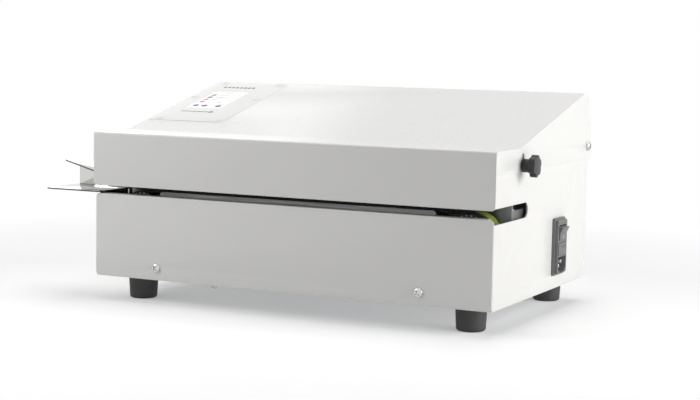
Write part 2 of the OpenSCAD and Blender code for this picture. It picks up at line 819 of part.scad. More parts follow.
module mechanism_frame() {
  y1 = frame_y + frame_t;
  window_z = 3 * frame_bottom + frame_t;
  color("silver") placed() difference() {
    union() {
      block([-frame_half_w, frame_y, frame_bottom], [frame_half_w, y1, frame_top]);
      block([-frame_half_w, frame_y, frame_bottom],
        [frame_half_w, frame_y + frame_foot_d, frame_bottom + frame_t]);
      for (s = [-1, 1])
        block([min(s * frame_half_w, s * (frame_half_w - frame_t)), frame_y, frame_bottom],
          [max(s * frame_half_w, s * (frame_half_w - frame_t)), frame_y + frame_flange_d,
            path_z + nip_gap]);
    }
    for (x = [-shaft_x, shaft_x], z = [lower_axis_z, upper_axis_z])
      translate([x, 0, z]) rod_y(bush_r + screw_play, frame_y - over, y1 + over);
    for (x = pillar_xs, z = [lower_pillar_z, upper_pillar_z])
      translate([x, 0, z]) rod_y(m4_r + screw_play, frame_y - over, y1 + over);
    for (f = frame_screw_shares)
      translate([f * frame_half_w, frame_y + frame_screw_in, 0])
        cylinder(r = m4_r + screw_play, h = 2 * frame_t + frame_bottom);
    // Room for the motor's cables and for air
    slab_y(frame_y - over, frame_t + 2 * over)
      for (w = frame_window_shares)
        round_area(w[0] * shaft_x, window_z, w[1] * shaft_x, lower_axis_z - wheel_r, frame_window_r);
    // Corners cut off at the top
    for (s = [-1, 1])
      slab_y(frame_y - over, frame_t + 2 * over)
        polygon([[s * (frame_half_w + over), frame_top - frame_corner],
          [s * (frame_half_w - frame_corner), frame_top + over],
          [s * (frame_half_w + over), frame_top + over]]);
  }
}

module frame_screws() {
  color("silver") placed() {
    for (f = frame_screw_shares)
      translate([f * frame_half_w, frame_y + frame_screw_in, frame_bottom + frame_t])
        pan_screw(m4_head_r, m4_head_h, m4_r, frame_bottom + frame_t + m4_r);
    for (x = pillar_xs, z = [lower_pillar_z, upper_pillar_z])
      translate([x, frame_y + frame_t, z]) rotate([-90, 0, 0])
        pan_screw(m4_head_r, m4_head_h, m4_r, m4_long_l);
    for (x = pillar_xs) {
      translate([x, bar_y, lower_pillar_z]) rotate([90, 0, 0])
        pan_screw(m4_head_r, m4_head_h, m4_r, m4_long_l);
      translate([x, belt_y + belt_w - bed_side_gap - bed_web_t, upper_pillar_z])
        rotate([90, 0, 0]) pan_screw(m4_head_r, m4_head_h, m4_r, m4_long_l);
    }
    for (x = bracket_screw_xs)
      translate([x, bracket_screw_y, sheet_t + bracket_t])
        pan_screw(m4_head_r, m4_head_h, m4_r, sheet_t + bracket_t + m4_r);
  }
}

bar_x0 = -half_w + bar_left_gap;
bar_x1 = half_w - bar_right_gap;

module front_bar() {
  color("lightgray") placed() difference() {
    slab_y(bar_y, bar_t) round_area(bar_x0, path_z - bar_h, bar_x1, path_z, bar_corner_r);
    for (x = pillar_xs)
      translate([x, bar_y, lower_pillar_z]) rod_y(m4_r + screw_play, -over, bar_t + over);
  }
}

module bar_pillars() {
  color("silver") placed() {
    for (x = pillar_xs) {
      translate([x, 0, lower_pillar_z]) pillar(bar_y + bar_t);
      translate([x, 0, upper_pillar_z]) pillar(belt_y + belt_w - bed_side_gap);
    }
  }
}

// Round pillar from y0 to the frame, tapped at both ends
module pillar(y0) {
  difference() {
    rod_y(pillar_r, y0, frame_y);
    rod_y(m4_r + screw_play, y0 - over, y0 + pillar_tap_l);
    rod_y(m4_r + screw_play, frame_y - pillar_tap_l, frame_y + over);
  }
}

// Belts: two runs and two half turns, with teeth on the inside of the runs

module belt_at(z) {
  teeth = floor((2 * shaft_x - belt_pitch) / belt_pitch);
  start = -teeth * belt_pitch / 2;
  low = wheel_r - belt_t;
  high = wheel_r - belt_back_t;
  gap = belt_pitch * belt_tooth_share;
  comb = [for (i = [0:teeth - 1]) for (p = [[0, low], [0, high], [gap, high], [gap, low]])
    [start + (i + belt_tooth_share / 2) * belt_pitch + p[0], p[1]]];
  back = [for (i = [len(comb) - 1:-1:0]) [comb[i][0], -comb[i][1]]];
  placed() slab_y(belt_y, belt_w) translate([0, z]) difference() {
    union() {
      area(-shaft_x, -wheel_r, shaft_x, wheel_r);
      for (s = [-1, 1]) translate([s * shaft_x, 0]) circle(wheel_r);
    }
    polygon(concat([[-shaft_x, low]], comb, [[shaft_x, low]], [[shaft_x, -low]], back, [[-shaft_x, -low]]));
    for (s = [-1, 1]) translate([s * shaft_x, 0]) circle(low);
  }
}

module lower_belt() { color("black") belt_at(lower_axis_z); }
module upper_belt() { color("black") belt_at(upper_axis_z); }

// Slide strip under the working run of a belt, on a web that the pillars hold
module belt_bed_at(z, up, pillar_z) {
  run_z = z + up * (wheel_r - belt_t - bed_gap);
  bed_z = run_z - up * bed_t;
  web_z = pillar_z - up * (pillar_r + bed_web_margin);
  y0 = belt_y + bed_side_gap;
  y1 = belt_y + belt_w - bed_side_gap;
  placed() difference() {
    union() {
      block([-bed_half_l, y0, min(run_z, bed_z)], [bed_half_l, y1, max(run_z, bed_z)]);
      block([-bed_half_l, y1 - bed_web_t, min(bed_z, web_z)], [bed_half_l, y1, max(bed_z, web_z)]);
    }
    for (x = pillar_xs)
      translate([x, 0, pillar_z])
        rod_y((up > 0 ? pillar_r : m4_r) + screw_play, y0 - over, y1 + over);
  }
}

module lower_belt_bed() { color("ivory") belt_bed_at(lower_axis_z, 1, lower_pillar_z); }
module upper_belt_bed() { color("ivory") belt_bed_at(upper_axis_z, -1, upper_pillar_z); }

// Shafts, pulleys, wheels and gears, each drawn about its own axis

shaft_front_y = bar_y + bar_t + loose;
shaft_end = 1;
shaft_groove = 0.6;
shaft_rear_y = gear_y + gear_w + 2 * shaft_end;

module shaft_at(x, z) {
  placed() translate([x, 0, z]) difference() {
    union() {
      rod_y(shaft_r - shaft_end, shaft_front_y - shaft_end, shaft_rear_y + shaft_end);
      rod_y(shaft_r, shaft_front_y, shaft_rear_y);
    }
    // Retaining groove at the rear end
    difference() {
      rod_y(shaft_r + over, gear_y + gear_w + shaft_groove, gear_y + gear_w + 2 * shaft_groove);
      rod_y(shaft_r - shaft_groove, gear_y + gear_w, gear_y + gear_w + 3 * shaft_groove);
    }
  }
}

module lower_drive_shaft() { color("silver") shaft_at(shaft_x, lower_axis_z); }
module upper_drive_shaft() { color("silver") shaft_at(shaft_x, upper_axis_z); }
module lower_idler_shaft() { color("silver") shaft_at(-shaft_x, lower_axis_z); }
module upper_idler_shaft() { color("silver") shaft_at(-shaft_x, upper_axis_z); }

module pulley_at(x, z) {
  y0 = belt_y - pulley_flange_t - pulley_side_gap;
  y1 = belt_y + belt_w + pulley_flange_t + pulley_side_gap;
  placed() translate([x, 0, z]) difference() {
    union() {
      slab_y(y0 + pulley_flange_t, y1 - y0 - 2 * pulley_flange_t) difference() {
        circle(pulley_r);
        for (i = [0:pulley_grooves - 1])
          rotate(i * 360 / pulley_grooves)
            translate([pulley_r - groove_d, -groove_w / 2]) square([groove_d + over, groove_w]);
      }
      rod_y(pulley_flange_r, y0, y0 + pulley_flange_t);
      rod_y(pulley_flange_r, y1 - pulley_flange_t, y1);
    }
    rod_y(shaft_r + running, y0 - over, y1 + over);
  }
}

module lower_drive_pulley() { color("dimgray") pulley_at(shaft_x, lower_axis_z); }
module upper_drive_pulley() { color("dimgray") pulley_at(shaft_x, upper_axis_z); }
module lower_idler_pulley() { color("dimgray") pulley_at(-shaft_x, lower_axis_z); }
module upper_idler_pulley() { color("dimgray") pulley_at(-shaft_x, upper_axis_z); }

module pressure_wheel() {
  color("silver") placed() translate([shaft_x, 0, lower_axis_z]) difference() {
    union() {
      rod_y(wheel_r - tyre_t, wheel_y, wheel_y + wheel_w);
      rod_y(hub_r, wheel_y, wheel_y + wheel_w + hub_step);
    }
    rod_y(shaft_r + running, wheel_y - over, wheel_y + wheel_w + 2 * over);
  }
}

module pressure_tyre() {
  color("yellowgreen") placed() translate([shaft_x, 0, lower_axis_z]) difference() {
    rod_y(wheel_r, wheel_y, wheel_y + wheel_w);
    rod_y(wheel_r - tyre_t, wheel_y - over, wheel_y + wheel_w + over);
  }
}

module pressure_roller() {
  color("silver") placed() translate([shaft_x, 0, upper_axis_z]) difference() {
    union() {
      rod_y(wheel_r, wheel_y, wheel_y + wheel_w);
      rod_y(hub_r, wheel_y, wheel_y + wheel_w + hub_step);
    }
    rod_y(shaft_r + running, wheel_y - over, wheel_y + wheel_w + 2 * over);
    // Weight-saving holes
    for (i = [0:roller_holes - 1])
      rotate([0, i * 360 / roller_holes, 0]) translate([(wheel_r + shaft_r) / 2, 0, 0])
        rod_y(roller_hole_r, wheel_y - over, wheel_y + wheel_w + over);
  }
}

pressure_deg = 20;
gear_web_d = 1.5;
gear_hub_t = 3;

// Involute function, in degrees, at radius r of a gear with base radius b
function inv_at(b, r) = r <= b ? 0 : sqrt(pow(r / b, 2) - 1) * 180 / PI - acos(b / r);

// Outline of a spur gear with a tooth centred at the angle phase
function gear_outline(teeth, pitch_r, phase) =
  let (
    m = 2 * pitch_r / teeth,
    b = pitch_r * cos(pressure_deg),
    tip = pitch_r + 0.95 * m,
    root = pitch_r - 1.2 * m,
    half = 90 / teeth - tooth_play / (4 * pitch_r) * 180 / PI + inv_at(b, pitch_r),
    radii = [root, for (i = [0:4]) max(b, root) + (tip - max(b, root)) * i / 4]
  )
  [for (t = [0:teeth - 1]) for (s = [-1, 1]) for (k = [0:len(radii) - 1])
    let (
      r = s < 0 ? radii[k] : radii[len(radii) - 1 - k],
      a = phase + t * 360 / teeth + s * (half - inv_at(b, r))
    ) r * [cos(a), sin(a)]];

module gear_at(x, z, teeth, pitch_r, phase, bore_r, web_r) {
  placed() translate([x, 0, z]) difference() {
    slab_y(gear_y, gear_w) polygon(gear_outline(teeth, pitch_r, phase));
    rod_y(bore_r + running, gear_y - over, gear_y + gear_w + over);
    // Recessed web on both faces
    for (y = [gear_y - over, gear_y + gear_w - gear_web_d])
      difference() {
        rod_y(web_r, y, y + gear_web_d + over);
        rod_y(bore_r + gear_hub_t, y - over, y + gear_web_d + 2 * over);
      }
  }
}

gear_web_r = gear_pitch_r - 3 * gear_module;
pinion_web_r = pinion_pitch_r - 2.4 * gear_module;
pinion_offset = 90 - floor(90 * gear_teeth / 360) * 360 / gear_teeth;
pinion_phase = pinion_offset * gear_teeth / pinion_teeth + 180 / pinion_teeth;

module lower_gear() {
  color("goldenrod") gear_at(shaft_x, lower_axis_z, gear_teeth, gear_pitch_r, 90, shaft_r, gear_web_r);
}
module upper_gear() {
  color("goldenrod")
    gear_at(shaft_x, upper_axis_z, gear_teeth, gear_pitch_r, -90 + 180 / gear_teeth, shaft_r, gear_web_r);
}
module motor_pinion() {
  color("goldenrod")
    gear_at(pinion_x, lower_axis_z, pinion_teeth, pinion_pitch_r, pinion_phase,
      motor_shaft_r, pinion_web_r);
}

module shaft_bushes() {
  color("peru") placed()
    for (x = [-shaft_x, shaft_x], z = [lower_axis_z, upper_axis_z])
      translate([x, 0, z]) difference() {
        union() {
          rod_y(bush_r, frame_y, frame_y + frame_t + bush_l);
          rod_y(bush_flange_r, frame_y - bush_flange_t, frame_y);
        }
        rod_y(shaft_r + running, frame_y - bush_flange_t - over, frame_y + frame_t + bush_l + over);
      }
}

bracket_y = gear_y + gear_w + motor_gap;
bracket_screw_y = bracket_y + bracket_foot_d - bracket_screw_in;
bracket_screw_xs = [for (s = [-1, 1]) pinion_x + s * (bracket_half_w - bracket_screw_in)];

module motor_bracket() {
  color("silver") placed() difference() {
    union() {
      block([pinion_x - bracket_half_w, bracket_y, sheet_t],
        [pinion_x + bracket_half_w, bracket_y + bracket_t, lower_axis_z + gearbox_r + bracket_margin]);
      block([pinion_x - bracket_half_w, bracket_y, sheet_t],
        [pinion_x + bracket_half_w, bracket_y + bracket_foot_d, sheet_t + bracket_t]);
    }
    translate([pinion_x, 0, lower_axis_z])
      rod_y(motor_boss_r + screw_play, bracket_y - over, bracket_y + bracket_t + over);
    for (x = bracket_screw_xs)
      translate([x, bracket_screw_y, 0]) cylinder(r = m4_r + screw_play, h = sheet_t + bracket_t + over);
  }
}

module drive_motor() {
  y0 = bracket_y + bracket_t;
  y1 = y0 + gearbox_l + can_l;
  color("dimgray") placed() translate([pinion_x, 0, lower_axis_z]) union() {
    rod_y(gearbox_r, y0, y0 + gearbox_l);
    rod_y(can_r, y0 + gearbox_l, y1);
    rod_y(motor_boss_r, y0 - motor_boss_l, y0);
    rod_y(motor_shaft_r, gear_y - motor_tag_r, y0);
    for (s = [-1, 1])
      translate([s * can_r / 2, 0, 0]) rod_y(motor_tag_r, y1, y1 + motor_tag_l);
  }
}

// Heated bars in the path of the seam

heater_z0 = path_z - nip_gap / 2;
heater_z1 = path_z + nip_gap / 2;

module lower_heater() {
  color("silver") placed() heater_bar(heater_z0 - heater_h, heater_z0, 1);
}

module upper_heater() {
  color("silver") placed() union() {
    heater_bar(heater_z1, heater_z1 + heater_h, -1);
    // Pegs that guide the springs
    for (s = [-1, 1])
      translate([heater_x + heater_l / 2 + s * spring_share * heater_l, heater_mid_y, heater_z1 + heater_h])
        cylinder(r = spring_r - spring_wire_r - loose, h = spring_peg_h);
  }
}

heater_mid_y = heater_y + heater_w / 2;

// Bar with a bore for its cartridge, its working face eased at both ends
module heater_bar(z0, z1, face) {
  x0 = heater_x;
  x1 = heater_x + heater_l;
  zf = face > 0 ? z1 : z0;
  difference() {
    slab_y(heater_y, heater_w)
      polygon([[x0, zf - face * heater_h], [x0, zf - face * heater_ease_h], [x0 + heater_ease_l, zf],
        [x1 - heater_ease_l, zf], [x1, zf - face * heater_ease_h], [x1, zf - face * heater_h]]);
    translate([0, heater_mid_y, (z0 + z1) / 2]) rod_x(cartridge_r, x0 - over, x1 + over);
  }
}

// Insulating pads between the heated bars and the frame
module heater_pads() {
  y0 = heater_y + heater_w;
  color("ivory") placed()
    for (s = [-1, 1])
      translate([heater_x + heater_l / 2 + s * pad_share * heater_l, 0, heater_z0 - heater_h / 2])
        block([-pad_w / 2, y0, -pad_h / 2], [pad_w / 2, frame_y, pad_h / 2]);
}

hanger_z = heater_z1 + heater_h + hanger_h;

// Folded bracket above the upper bar, which its springs push against
module heater_hanger() {
  x0 = heater_x + hanger_end_gap;
  x1 = heater_x + heater_l - hanger_end_gap;
  color("silver") placed() union() {
    block([x0, heater_y, hanger_z], [x1, frame_y, hanger_z + hanger_t]);
    block([x0, frame_y - hanger_t, hanger_z], [x1, frame_y, hanger_z + hanger_up]);
    // Cheeks that keep the bar in line
    for (s = [-1, 1])
      block([s < 0 ? x0 : x1 - hanger_t, heater_y + heater_w + loose, heater_z1 + hanger_t],
        [s < 0 ? x0 + hanger_t : x1, frame_y, hanger_z]);
  }
}

// Points of a coil about the z axis, from z0 up
function coil_points(r, z0, z1, turns, steps) =
  [for (i = [0:turns * steps]) let (a = i * 360 / steps)
    [r * cos(a), r * sin(a), z0 + (z1 - z0) * i / (turns * steps)]];

coil_steps = 14;
coil_sides = 6;
spring_z0 = heater_z1 + heater_h + spring_wire_r + screw_play;
spring_z1 = hanger_z - spring_wire_r - screw_play;
spring_path = coil_points(spring_r, spring_z0, spring_z1, spring_turns, coil_steps);
echo(spring_least_gap = min([for (i = [0:len(spring_path) - 1 - coil_steps])
  norm(spring_path[i + coil_steps] - spring_path[i])]) - 2 * spring_wire_r);

// Wire of a coil as one closed tube
module coil(path, wire_r) {
  rings = len(path);
  points = [for (i = [0:rings - 1]) for (j = [0:coil_sides - 1])
    let (a = i * 360 / coil_steps, b = j * 360 / coil_sides)
    path[i] + wire_r * [cos(b) * cos(a), cos(b) * sin(a), sin(b)]];
  walls = [for (i = [0:rings - 2]) for (j = [0:coil_sides - 1])
    let (p = i * coil_sides + j, q = i * coil_sides + (j + 1) % coil_sides)
    for (f = [[p, q, q + coil_sides], [p, q + coil_sides, p + coil_sides]]) f];
  first = [for (j = [1:coil_sides - 2]) [0, j + 1, j]];
  last = (rings - 1) * coil_sides;
  end = [for (j = [1:coil_sides - 2]) [last, last + j, last + j + 1]];
  polyhedron(concat(points), concat(walls, first, end));
}

module heater_springs() {
  color("silver") placed()
    for (s = [-1, 1])
      translate([heater_x + heater_l / 2 + s * spring_share * heater_l, heater_mid_y, 0])
        coil(spring_path, spring_wire_r);
}

fork_w = 12;
fork_arm_h = 7;
fork_mouth = 4.5;

// Fork that sees a pouch come in
module entry_sensor() {
  x0 = -shaft_x - shaft_r - fork_w;
  y0 = heater_y + heater_step;
  color("dimgray") placed() difference() {
    block([x0, y0, path_z - fork_mouth - fork_arm_h],
      [x0 + fork_w, frame_y, path_z + fork_mouth + fork_arm_h]);
    block([x0 - over, y0 - over, path_z - fork_mouth],
      [x0 + fork_w + over, tray_back + tray_t + loose, path_z + fork_mouth]);
  }
}

// Electronics on the bottom plate

supply_x = -31;
supply_w = 90;
supply_d = 100;
supply_rear_gap = 32.5;
supply_y = casing_d - sheet_t - supply_rear_gap - supply_d;
supply_h = 38;
supply_skin = 1;
supply_hole_r = 2.5;
supply_hole_pitch = 13;
supply_rows = 4;
supply_columns = 6;

module power_supply() {
  top = sheet_t + supply_h;
  color("silver") placed() difference() {
    block([supply_x, supply_y, sheet_t], [supply_x + supply_w, supply_y + supply_d, top]);
    // Air holes in the cover
    for (i = [0:supply_columns - 1])
      for (j = [0:supply_rows - 1])
        translate([supply_x + supply_w / 2 + (i - (supply_columns - 1) / 2) * supply_hole_pitch,
          supply_y + supply_d / 2 + (j - (supply_rows - 1) / 2) * supply_hole_pitch, top - supply_skin])
          cylinder(r = supply_hole_r, h = supply_skin + over);
  }
}

board_w = 139;
board_gap = 19;
board_x = supply_x - board_gap - board_w;
board_d = 115;
board_rear_gap = 30;
board_y = casing_d - sheet_t - board_rear_gap - board_d;
board_rise = 10;
board_z = sheet_t + board_rise;
board_t = 1.6;
board_hole_in = 5;
board_pin_r = 1.5;
board_foot_r = 3;
board_nut_r = 2.6;
board_nut_t = 1.8;
// Parts on the board: where they start and end as shares of it, and how high they stand
board_part_shares = [[0.08, 0.2, 0.3, 0.45], [0.45, 0.35, 0.6, 0.6], [0.7, 0.75, 0.92, 0.87]];
board_part_h = [20, 4, 11];
board_can_shares = [0.15, 0.27, 0.39];
board_can_y_share = 0.72;
board_can_r = 5;
board_can_h = 18;

module control_board() {
  color("seagreen") placed() difference() {
    union() {
      block([board_x, board_y, board_z], [board_x + board_w, board_y + board_d, board_z + board_t]);
      for (i = [0:len(board_part_h) - 1])
        let (p = board_part_shares[i])
          block([board_x + p[0] * board_w, board_y + p[1] * board_d, board_z],
            [board_x + p[2] * board_w, board_y + p[3] * board_d, board_z + board_part_h[i]]);
      for (share = board_can_shares)
        translate([board_x + board_w * share, board_y + board_d * board_can_y_share, board_z])
          cylinder(r = board_can_r, h = board_can_h);
    }
    for (x = [board_x + board_hole_in, board_x + board_w - board_hole_in],
         y = [board_y + board_hole_in, board_y + board_d - board_hole_in])
      translate([x, y, board_z - over]) cylinder(r = board_pin_r + screw_play, h = board_t + 2 * over);
  }
}

module board_pillars() {
  color("goldenrod") placed()
    for (x = [board_x + board_hole_in, board_x + board_w - board_hole_in],
         y = [board_y + board_hole_in, board_y + board_d - board_hole_in])
      translate([x, y, sheet_t]) {
        cylinder(r = board_foot_r, h = board_rise);
        cylinder(r = board_pin_r, h = board_rise + board_t);
        translate([0, 0, board_rise + board_t]) cylinder(r = board_nut_r, h = board_nut_t);
      }
}

// Lid

// Side view of the lid, drawn in y and z, moved in by inset and cut at bottom
function lid_outline(inset, bottom) =
  let (
    y0 = lid_front_y + inset,
    z1 = ledge_z - inset,
    k = inset * tan(slope_angle / 2),
    y2 = lid_rear_y - inset,
    fr = ledge_bend_r - inset,
    rr = ridge_r - inset,
    c = [ridge_y, ridge_z] + ridge_r * sqrt(2) * [cos(slope_angle - 135), sin(slope_angle - 135)]
  )
  concat(
    [[y0, bottom]],
    arc([y0 + fr, z1 - fr], fr, 180, 90, 5),
    [[slope_y + k, z1]],
    arc(c, rr, 90 + slope_angle, slope_angle, 8),
    [[y2, ledge_z + k]],
    inset > 0 ? [[y2, bottom]]
      : arc([y2 - cheek_corner_r, bottom + cheek_corner_r], cheek_corner_r, 0, -90, 5));

module lid_shell() {
  inner = half_w + cheek_gap;
  relief_top = hinge_z + hinge_ear_r + relief_margin;
  color("whitesmoke") placed() difference() {
    union() {
      slab_x(-lid_half_w, 2 * lid_half_w) polygon(lid_outline(0, seam_z));
      slab_y(lid_front_y, sheet_t) {
        round_area(-lid_half_w, upper_panel_z, lid_half_w, seam_z + cheek_corner_r, panel_corner_r);
        area(-lid_half_w, (upper_panel_z + seam_z) / 2, lid_half_w, seam_z + ledge_bend_r);
      }
    }
    slab_x(-inner, 2 * inner) polygon(lid_outline(sheet_t, seam_z - over));
    // Bend reliefs beside the hinge ears
    for (s = [-1, 1])
      block([min(s * (inner_half_w - ear_gap), s * inner), hinge_y, seam_z - over],
        [max(s * (inner_half_w - ear_gap), s * inner), lid_rear_y + over, relief_top]);
    for (x = [-lid_half_w, lid_half_w]) {
      translate([x, hinge_y, hinge_z]) rod_x(hinge_pin_r + running, -2 * sheet_t, 2 * sheet_t);
      slab_x(x - 2 * sheet_t, 4 * sheet_t) {
        area(knob_y - knob_slot_w / 2, seam_z - over,
          knob_y + knob_slot_w / 2, knob_slot_top - knob_slot_w / 2);
        translate([knob_y, knob_slot_top - knob_slot_w / 2]) circle(knob_slot_w / 2);
      }
    }
    // Window under the screen
    on_slope() translate([0, 0, -3 * sheet_t]) linear_extrude(4 * sheet_t)
      area(screen_x0 + screen_seat, screen_y0 + screen_seat,
        screen_x0 + screen_w - screen_seat, screen_y0 + screen_l - screen_seat);
  }
}

// Local frame of the slope: x across, y up the slope, z out of the sheet
module on_slope() {
  translate([0, slope_y, ledge_z]) rotate([slope_angle, 0, 0]) children();
}

panel_edge_gap = 0.5;
panel_x0 = -lid_half_w + panel_edge_gap;
panel_label_r = 3;
screen_seat = 3;
display_out = 7;
display_d = 8;
screen_x0 = panel_x0 + screen_x;
screen_y0 = panel_start + screen_start;

module label_panel() {
  color("whitesmoke") placed() on_slope() linear_extrude(panel_t) difference() {
    round_area(panel_x0, panel_start, panel_x0 + panel_w, panel_start + panel_l, panel_label_r);
    area(screen_x0 - loose, screen_y0 - loose, screen_x0 + screen_w + loose, screen_y0 + screen_l + loose);
  }
}

module touch_screen() {
  color("lightsteelblue") placed() on_slope() linear_extrude(panel_t)
    area(screen_x0, screen_y0, screen_x0 + screen_w, screen_y0 + screen_l);
}

module display_board() {
  color("seagreen") placed() on_slope() translate([0, 0, -sheet_t - display_d]) linear_extrude(display_d)
    area(screen_x0 - display_out, screen_y0 - display_out,
      screen_x0 + screen_w + display_out, screen_y0 + screen_l + display_out);
}

module hinge_screws() {
  tail = hinge_nut_t + cheek_gap + 2 * sheet_t + screw_play;
  color("silver") placed()
    for (s = [-1, 1])
      translate([s * (lid_half_w + screw_play), hinge_y, hinge_z]) rotate([0, s * 90, 0]) difference() {
        union() {
          rotate_extrude() polygon(concat([[0, 0]],
            [for (i = [0:5]) [hinge_head_r * cos(i * 12), hinge_head_h * sin(i * 18)]],
            [[0, hinge_head_h]]));
          translate([0, 0, -tail]) cylinder(r = hinge_pin_r, h = tail);
          // Nut inside the ear
          translate([0, 0, -tail]) cylinder(r = hinge_nut_r, h = hinge_nut_t - screw_play, $fn = 6);
        }
        translate([0, 0, hinge_head_h - hinge_key_d])
          cylinder(r = hinge_key_r, h = hinge_key_d + over, $fn = 6);
      }
}

module knob_studs() {
  color("silver") placed()
    for (s = [-1, 1])
      translate([s * inner_half_w, knob_y, knob_z]) rotate([0, s * 90, 0]) union() {
        translate([0, 0, -stud_flange_t]) cylinder(r = stud_flange_r, h = stud_flange_t, $fn = 6);
        cylinder(r = stud_r, h = lid_half_w - inner_half_w + knob_bore_l - loose);
      }
}

module knob_at(s) {
  color("dimgray") placed()
    translate([s * (lid_half_w + loose), knob_y, knob_z]) rotate([0, s * 90, 0]) difference() {
      union() {
        cylinder(r = knob_neck_r, h = knob_neck_l);
        translate([0, 0, knob_neck_l]) linear_extrude(knob_head_t) {
          circle(knob_r - knob_lobe_r * 0.8);
          for (i = [0:knob_lobes - 1])
            rotate((i + knob_turn_share) * 360 / knob_lobes)
              translate([knob_r - knob_lobe_r, 0]) circle(knob_lobe_r);
        }
      }
      translate([0, 0, -over]) cylinder(r = stud_r + running, h = knob_bore_l + over);
    }
}

module right_knob() { knob_at(1); }
module left_knob() { knob_at(-1); }

bottom_plate();
base_shell();
lower_front_panel();
panel_screws();
base_screws();
foot_front_left();
foot_front_right();
foot_rear_left();
foot_rear_right();
foot_screws();
inlet_housing();
inlet_pins();
power_rocker();
fuse_drawer();
fuses();
infeed_tray();
infeed_guide();
infeed_screws();
mechanism_frame();
frame_screws();
front_bar();
bar_pillars();
lower_belt_bed();
upper_belt_bed();
lower_belt();
upper_belt();
lower_drive_shaft();
upper_drive_shaft();
lower_idler_shaft();
upper_idler_shaft();
lower_drive_pulley();
upper_drive_pulley();
lower_idler_pulley();
upper_idler_pulley();
pressure_wheel();
pressure_tyre();
pressure_roller();
lower_gear();
upper_gear();
shaft_bushes();
drive_motor();
motor_pinion();
motor_bracket();
lower_heater();
upper_heater();
heater_pads();
heater_springs();
heater_hanger();
entry_sensor();
power_supply();
control_board();
board_pillars();
lid_shell();
label_panel();
touch_screen();
display_board();
hinge_screws();
knob_studs();
right_knob();
left_knob();
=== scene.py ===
# A counter-top pouch sealer in its studio picture.
# Lengths are in metres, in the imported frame: x to the right, y to the rear, z up.

import json
import math

import bmesh
import bpy
from mathutils import Matrix, Vector


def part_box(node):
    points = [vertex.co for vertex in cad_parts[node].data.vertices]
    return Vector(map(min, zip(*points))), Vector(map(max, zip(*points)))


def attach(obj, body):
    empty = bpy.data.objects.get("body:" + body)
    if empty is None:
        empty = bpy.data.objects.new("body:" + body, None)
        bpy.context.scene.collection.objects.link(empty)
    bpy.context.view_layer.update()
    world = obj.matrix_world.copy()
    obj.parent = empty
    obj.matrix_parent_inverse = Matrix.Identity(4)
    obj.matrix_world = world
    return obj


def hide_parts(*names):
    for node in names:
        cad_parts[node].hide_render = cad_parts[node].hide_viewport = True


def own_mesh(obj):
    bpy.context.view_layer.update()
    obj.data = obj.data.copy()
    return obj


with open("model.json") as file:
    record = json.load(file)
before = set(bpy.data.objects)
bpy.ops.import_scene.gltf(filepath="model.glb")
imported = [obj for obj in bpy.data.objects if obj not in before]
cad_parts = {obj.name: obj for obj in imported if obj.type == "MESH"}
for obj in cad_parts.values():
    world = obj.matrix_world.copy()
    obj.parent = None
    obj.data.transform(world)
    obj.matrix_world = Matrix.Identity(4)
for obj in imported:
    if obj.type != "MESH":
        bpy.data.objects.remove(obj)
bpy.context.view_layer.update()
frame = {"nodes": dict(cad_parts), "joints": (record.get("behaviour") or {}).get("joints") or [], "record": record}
nodes = frame["nodes"]

# Camera
# A long lens stands to the right of the machine at the height of its lid, so the front
# runs away to the left and the right-hand wall is seen at a slant.
camera_place = Vector((0.79285, -1.56224, 0.28301))
camera_look = Vector((-0.43763, 0.89358, -0.09995))
camera_up = Vector((-0.06044, 0.08168, 0.99482))
photo_width_px = 700
focal_length_px = 1627.9
sensor_width = 36
camera_data = bpy.data.cameras.new("camera")
camera_data.sensor_width = sensor_width
camera_data.lens = focal_length_px / photo_width_px * sensor_width
camera_data.clip_end = 40
camera = bpy.data.objects.new("camera", camera_data)
camera_axes = Matrix((camera_look.cross(camera_up), camera_up, -camera_look)).transposed()
camera.matrix_world = Matrix.Translation(camera_place) @ camera_axes.to_4x4()
bpy.context.scene.collection.objects.link(camera)
bpy.context.scene.camera = camera
bpy.context.scene.view_settings.view_transform = "Standard"

# Floor
# A sweep of white card runs out of the picture on every side. Near the machine it takes
# the soft shadow, and further out it melts into the white of the room.
floor_reach = 9
card_white = (0.86, 0.86, 0.86, 1)
card_rough = 0.95
card_gloss = 0.05
card_lift = 0.28
card_plain_from = 0.42
card_plain_to = 0.9
floor_mesh = bmesh.new()
bmesh.ops.create_circle(floor_mesh, cap_ends=True, radius=floor_reach, segments=64)
floor_data = bpy.data.meshes.new("floor")
floor_mesh.to_mesh(floor_data)
floor_mesh.free()
floor = bpy.data.objects.new("floor", floor_data)
bpy.context.scene.collection.objects.link(floor)


def rays_that_see_white(tree):
    """The share of rays that show the studio's white: those of the eye, of gloss and of glass."""
    ray = tree.nodes.new("ShaderNodeLightPath")
    total = ray.outputs["Is Camera Ray"]
    for kind in ("Is Glossy Ray", "Is Transmission Ray"):
        either = tree.nodes.new("ShaderNodeMath")
        either.operation = "MAXIMUM"
        tree.links.new(total, either.inputs[0])
        tree.links.new(ray.outputs[kind], either.inputs[1])
        total = either.outputs[0]
    return total


def blend_shaders(tree, share, first, second):
    """Two shaders mixed by a share."""
    mix = tree.nodes.new("ShaderNodeMixShader")
    tree.links.new(share, mix.inputs["Fac"])
    tree.links.new(first, mix.inputs[1])
    tree.links.new(second, mix.inputs[2])
    return mix.outputs[0]


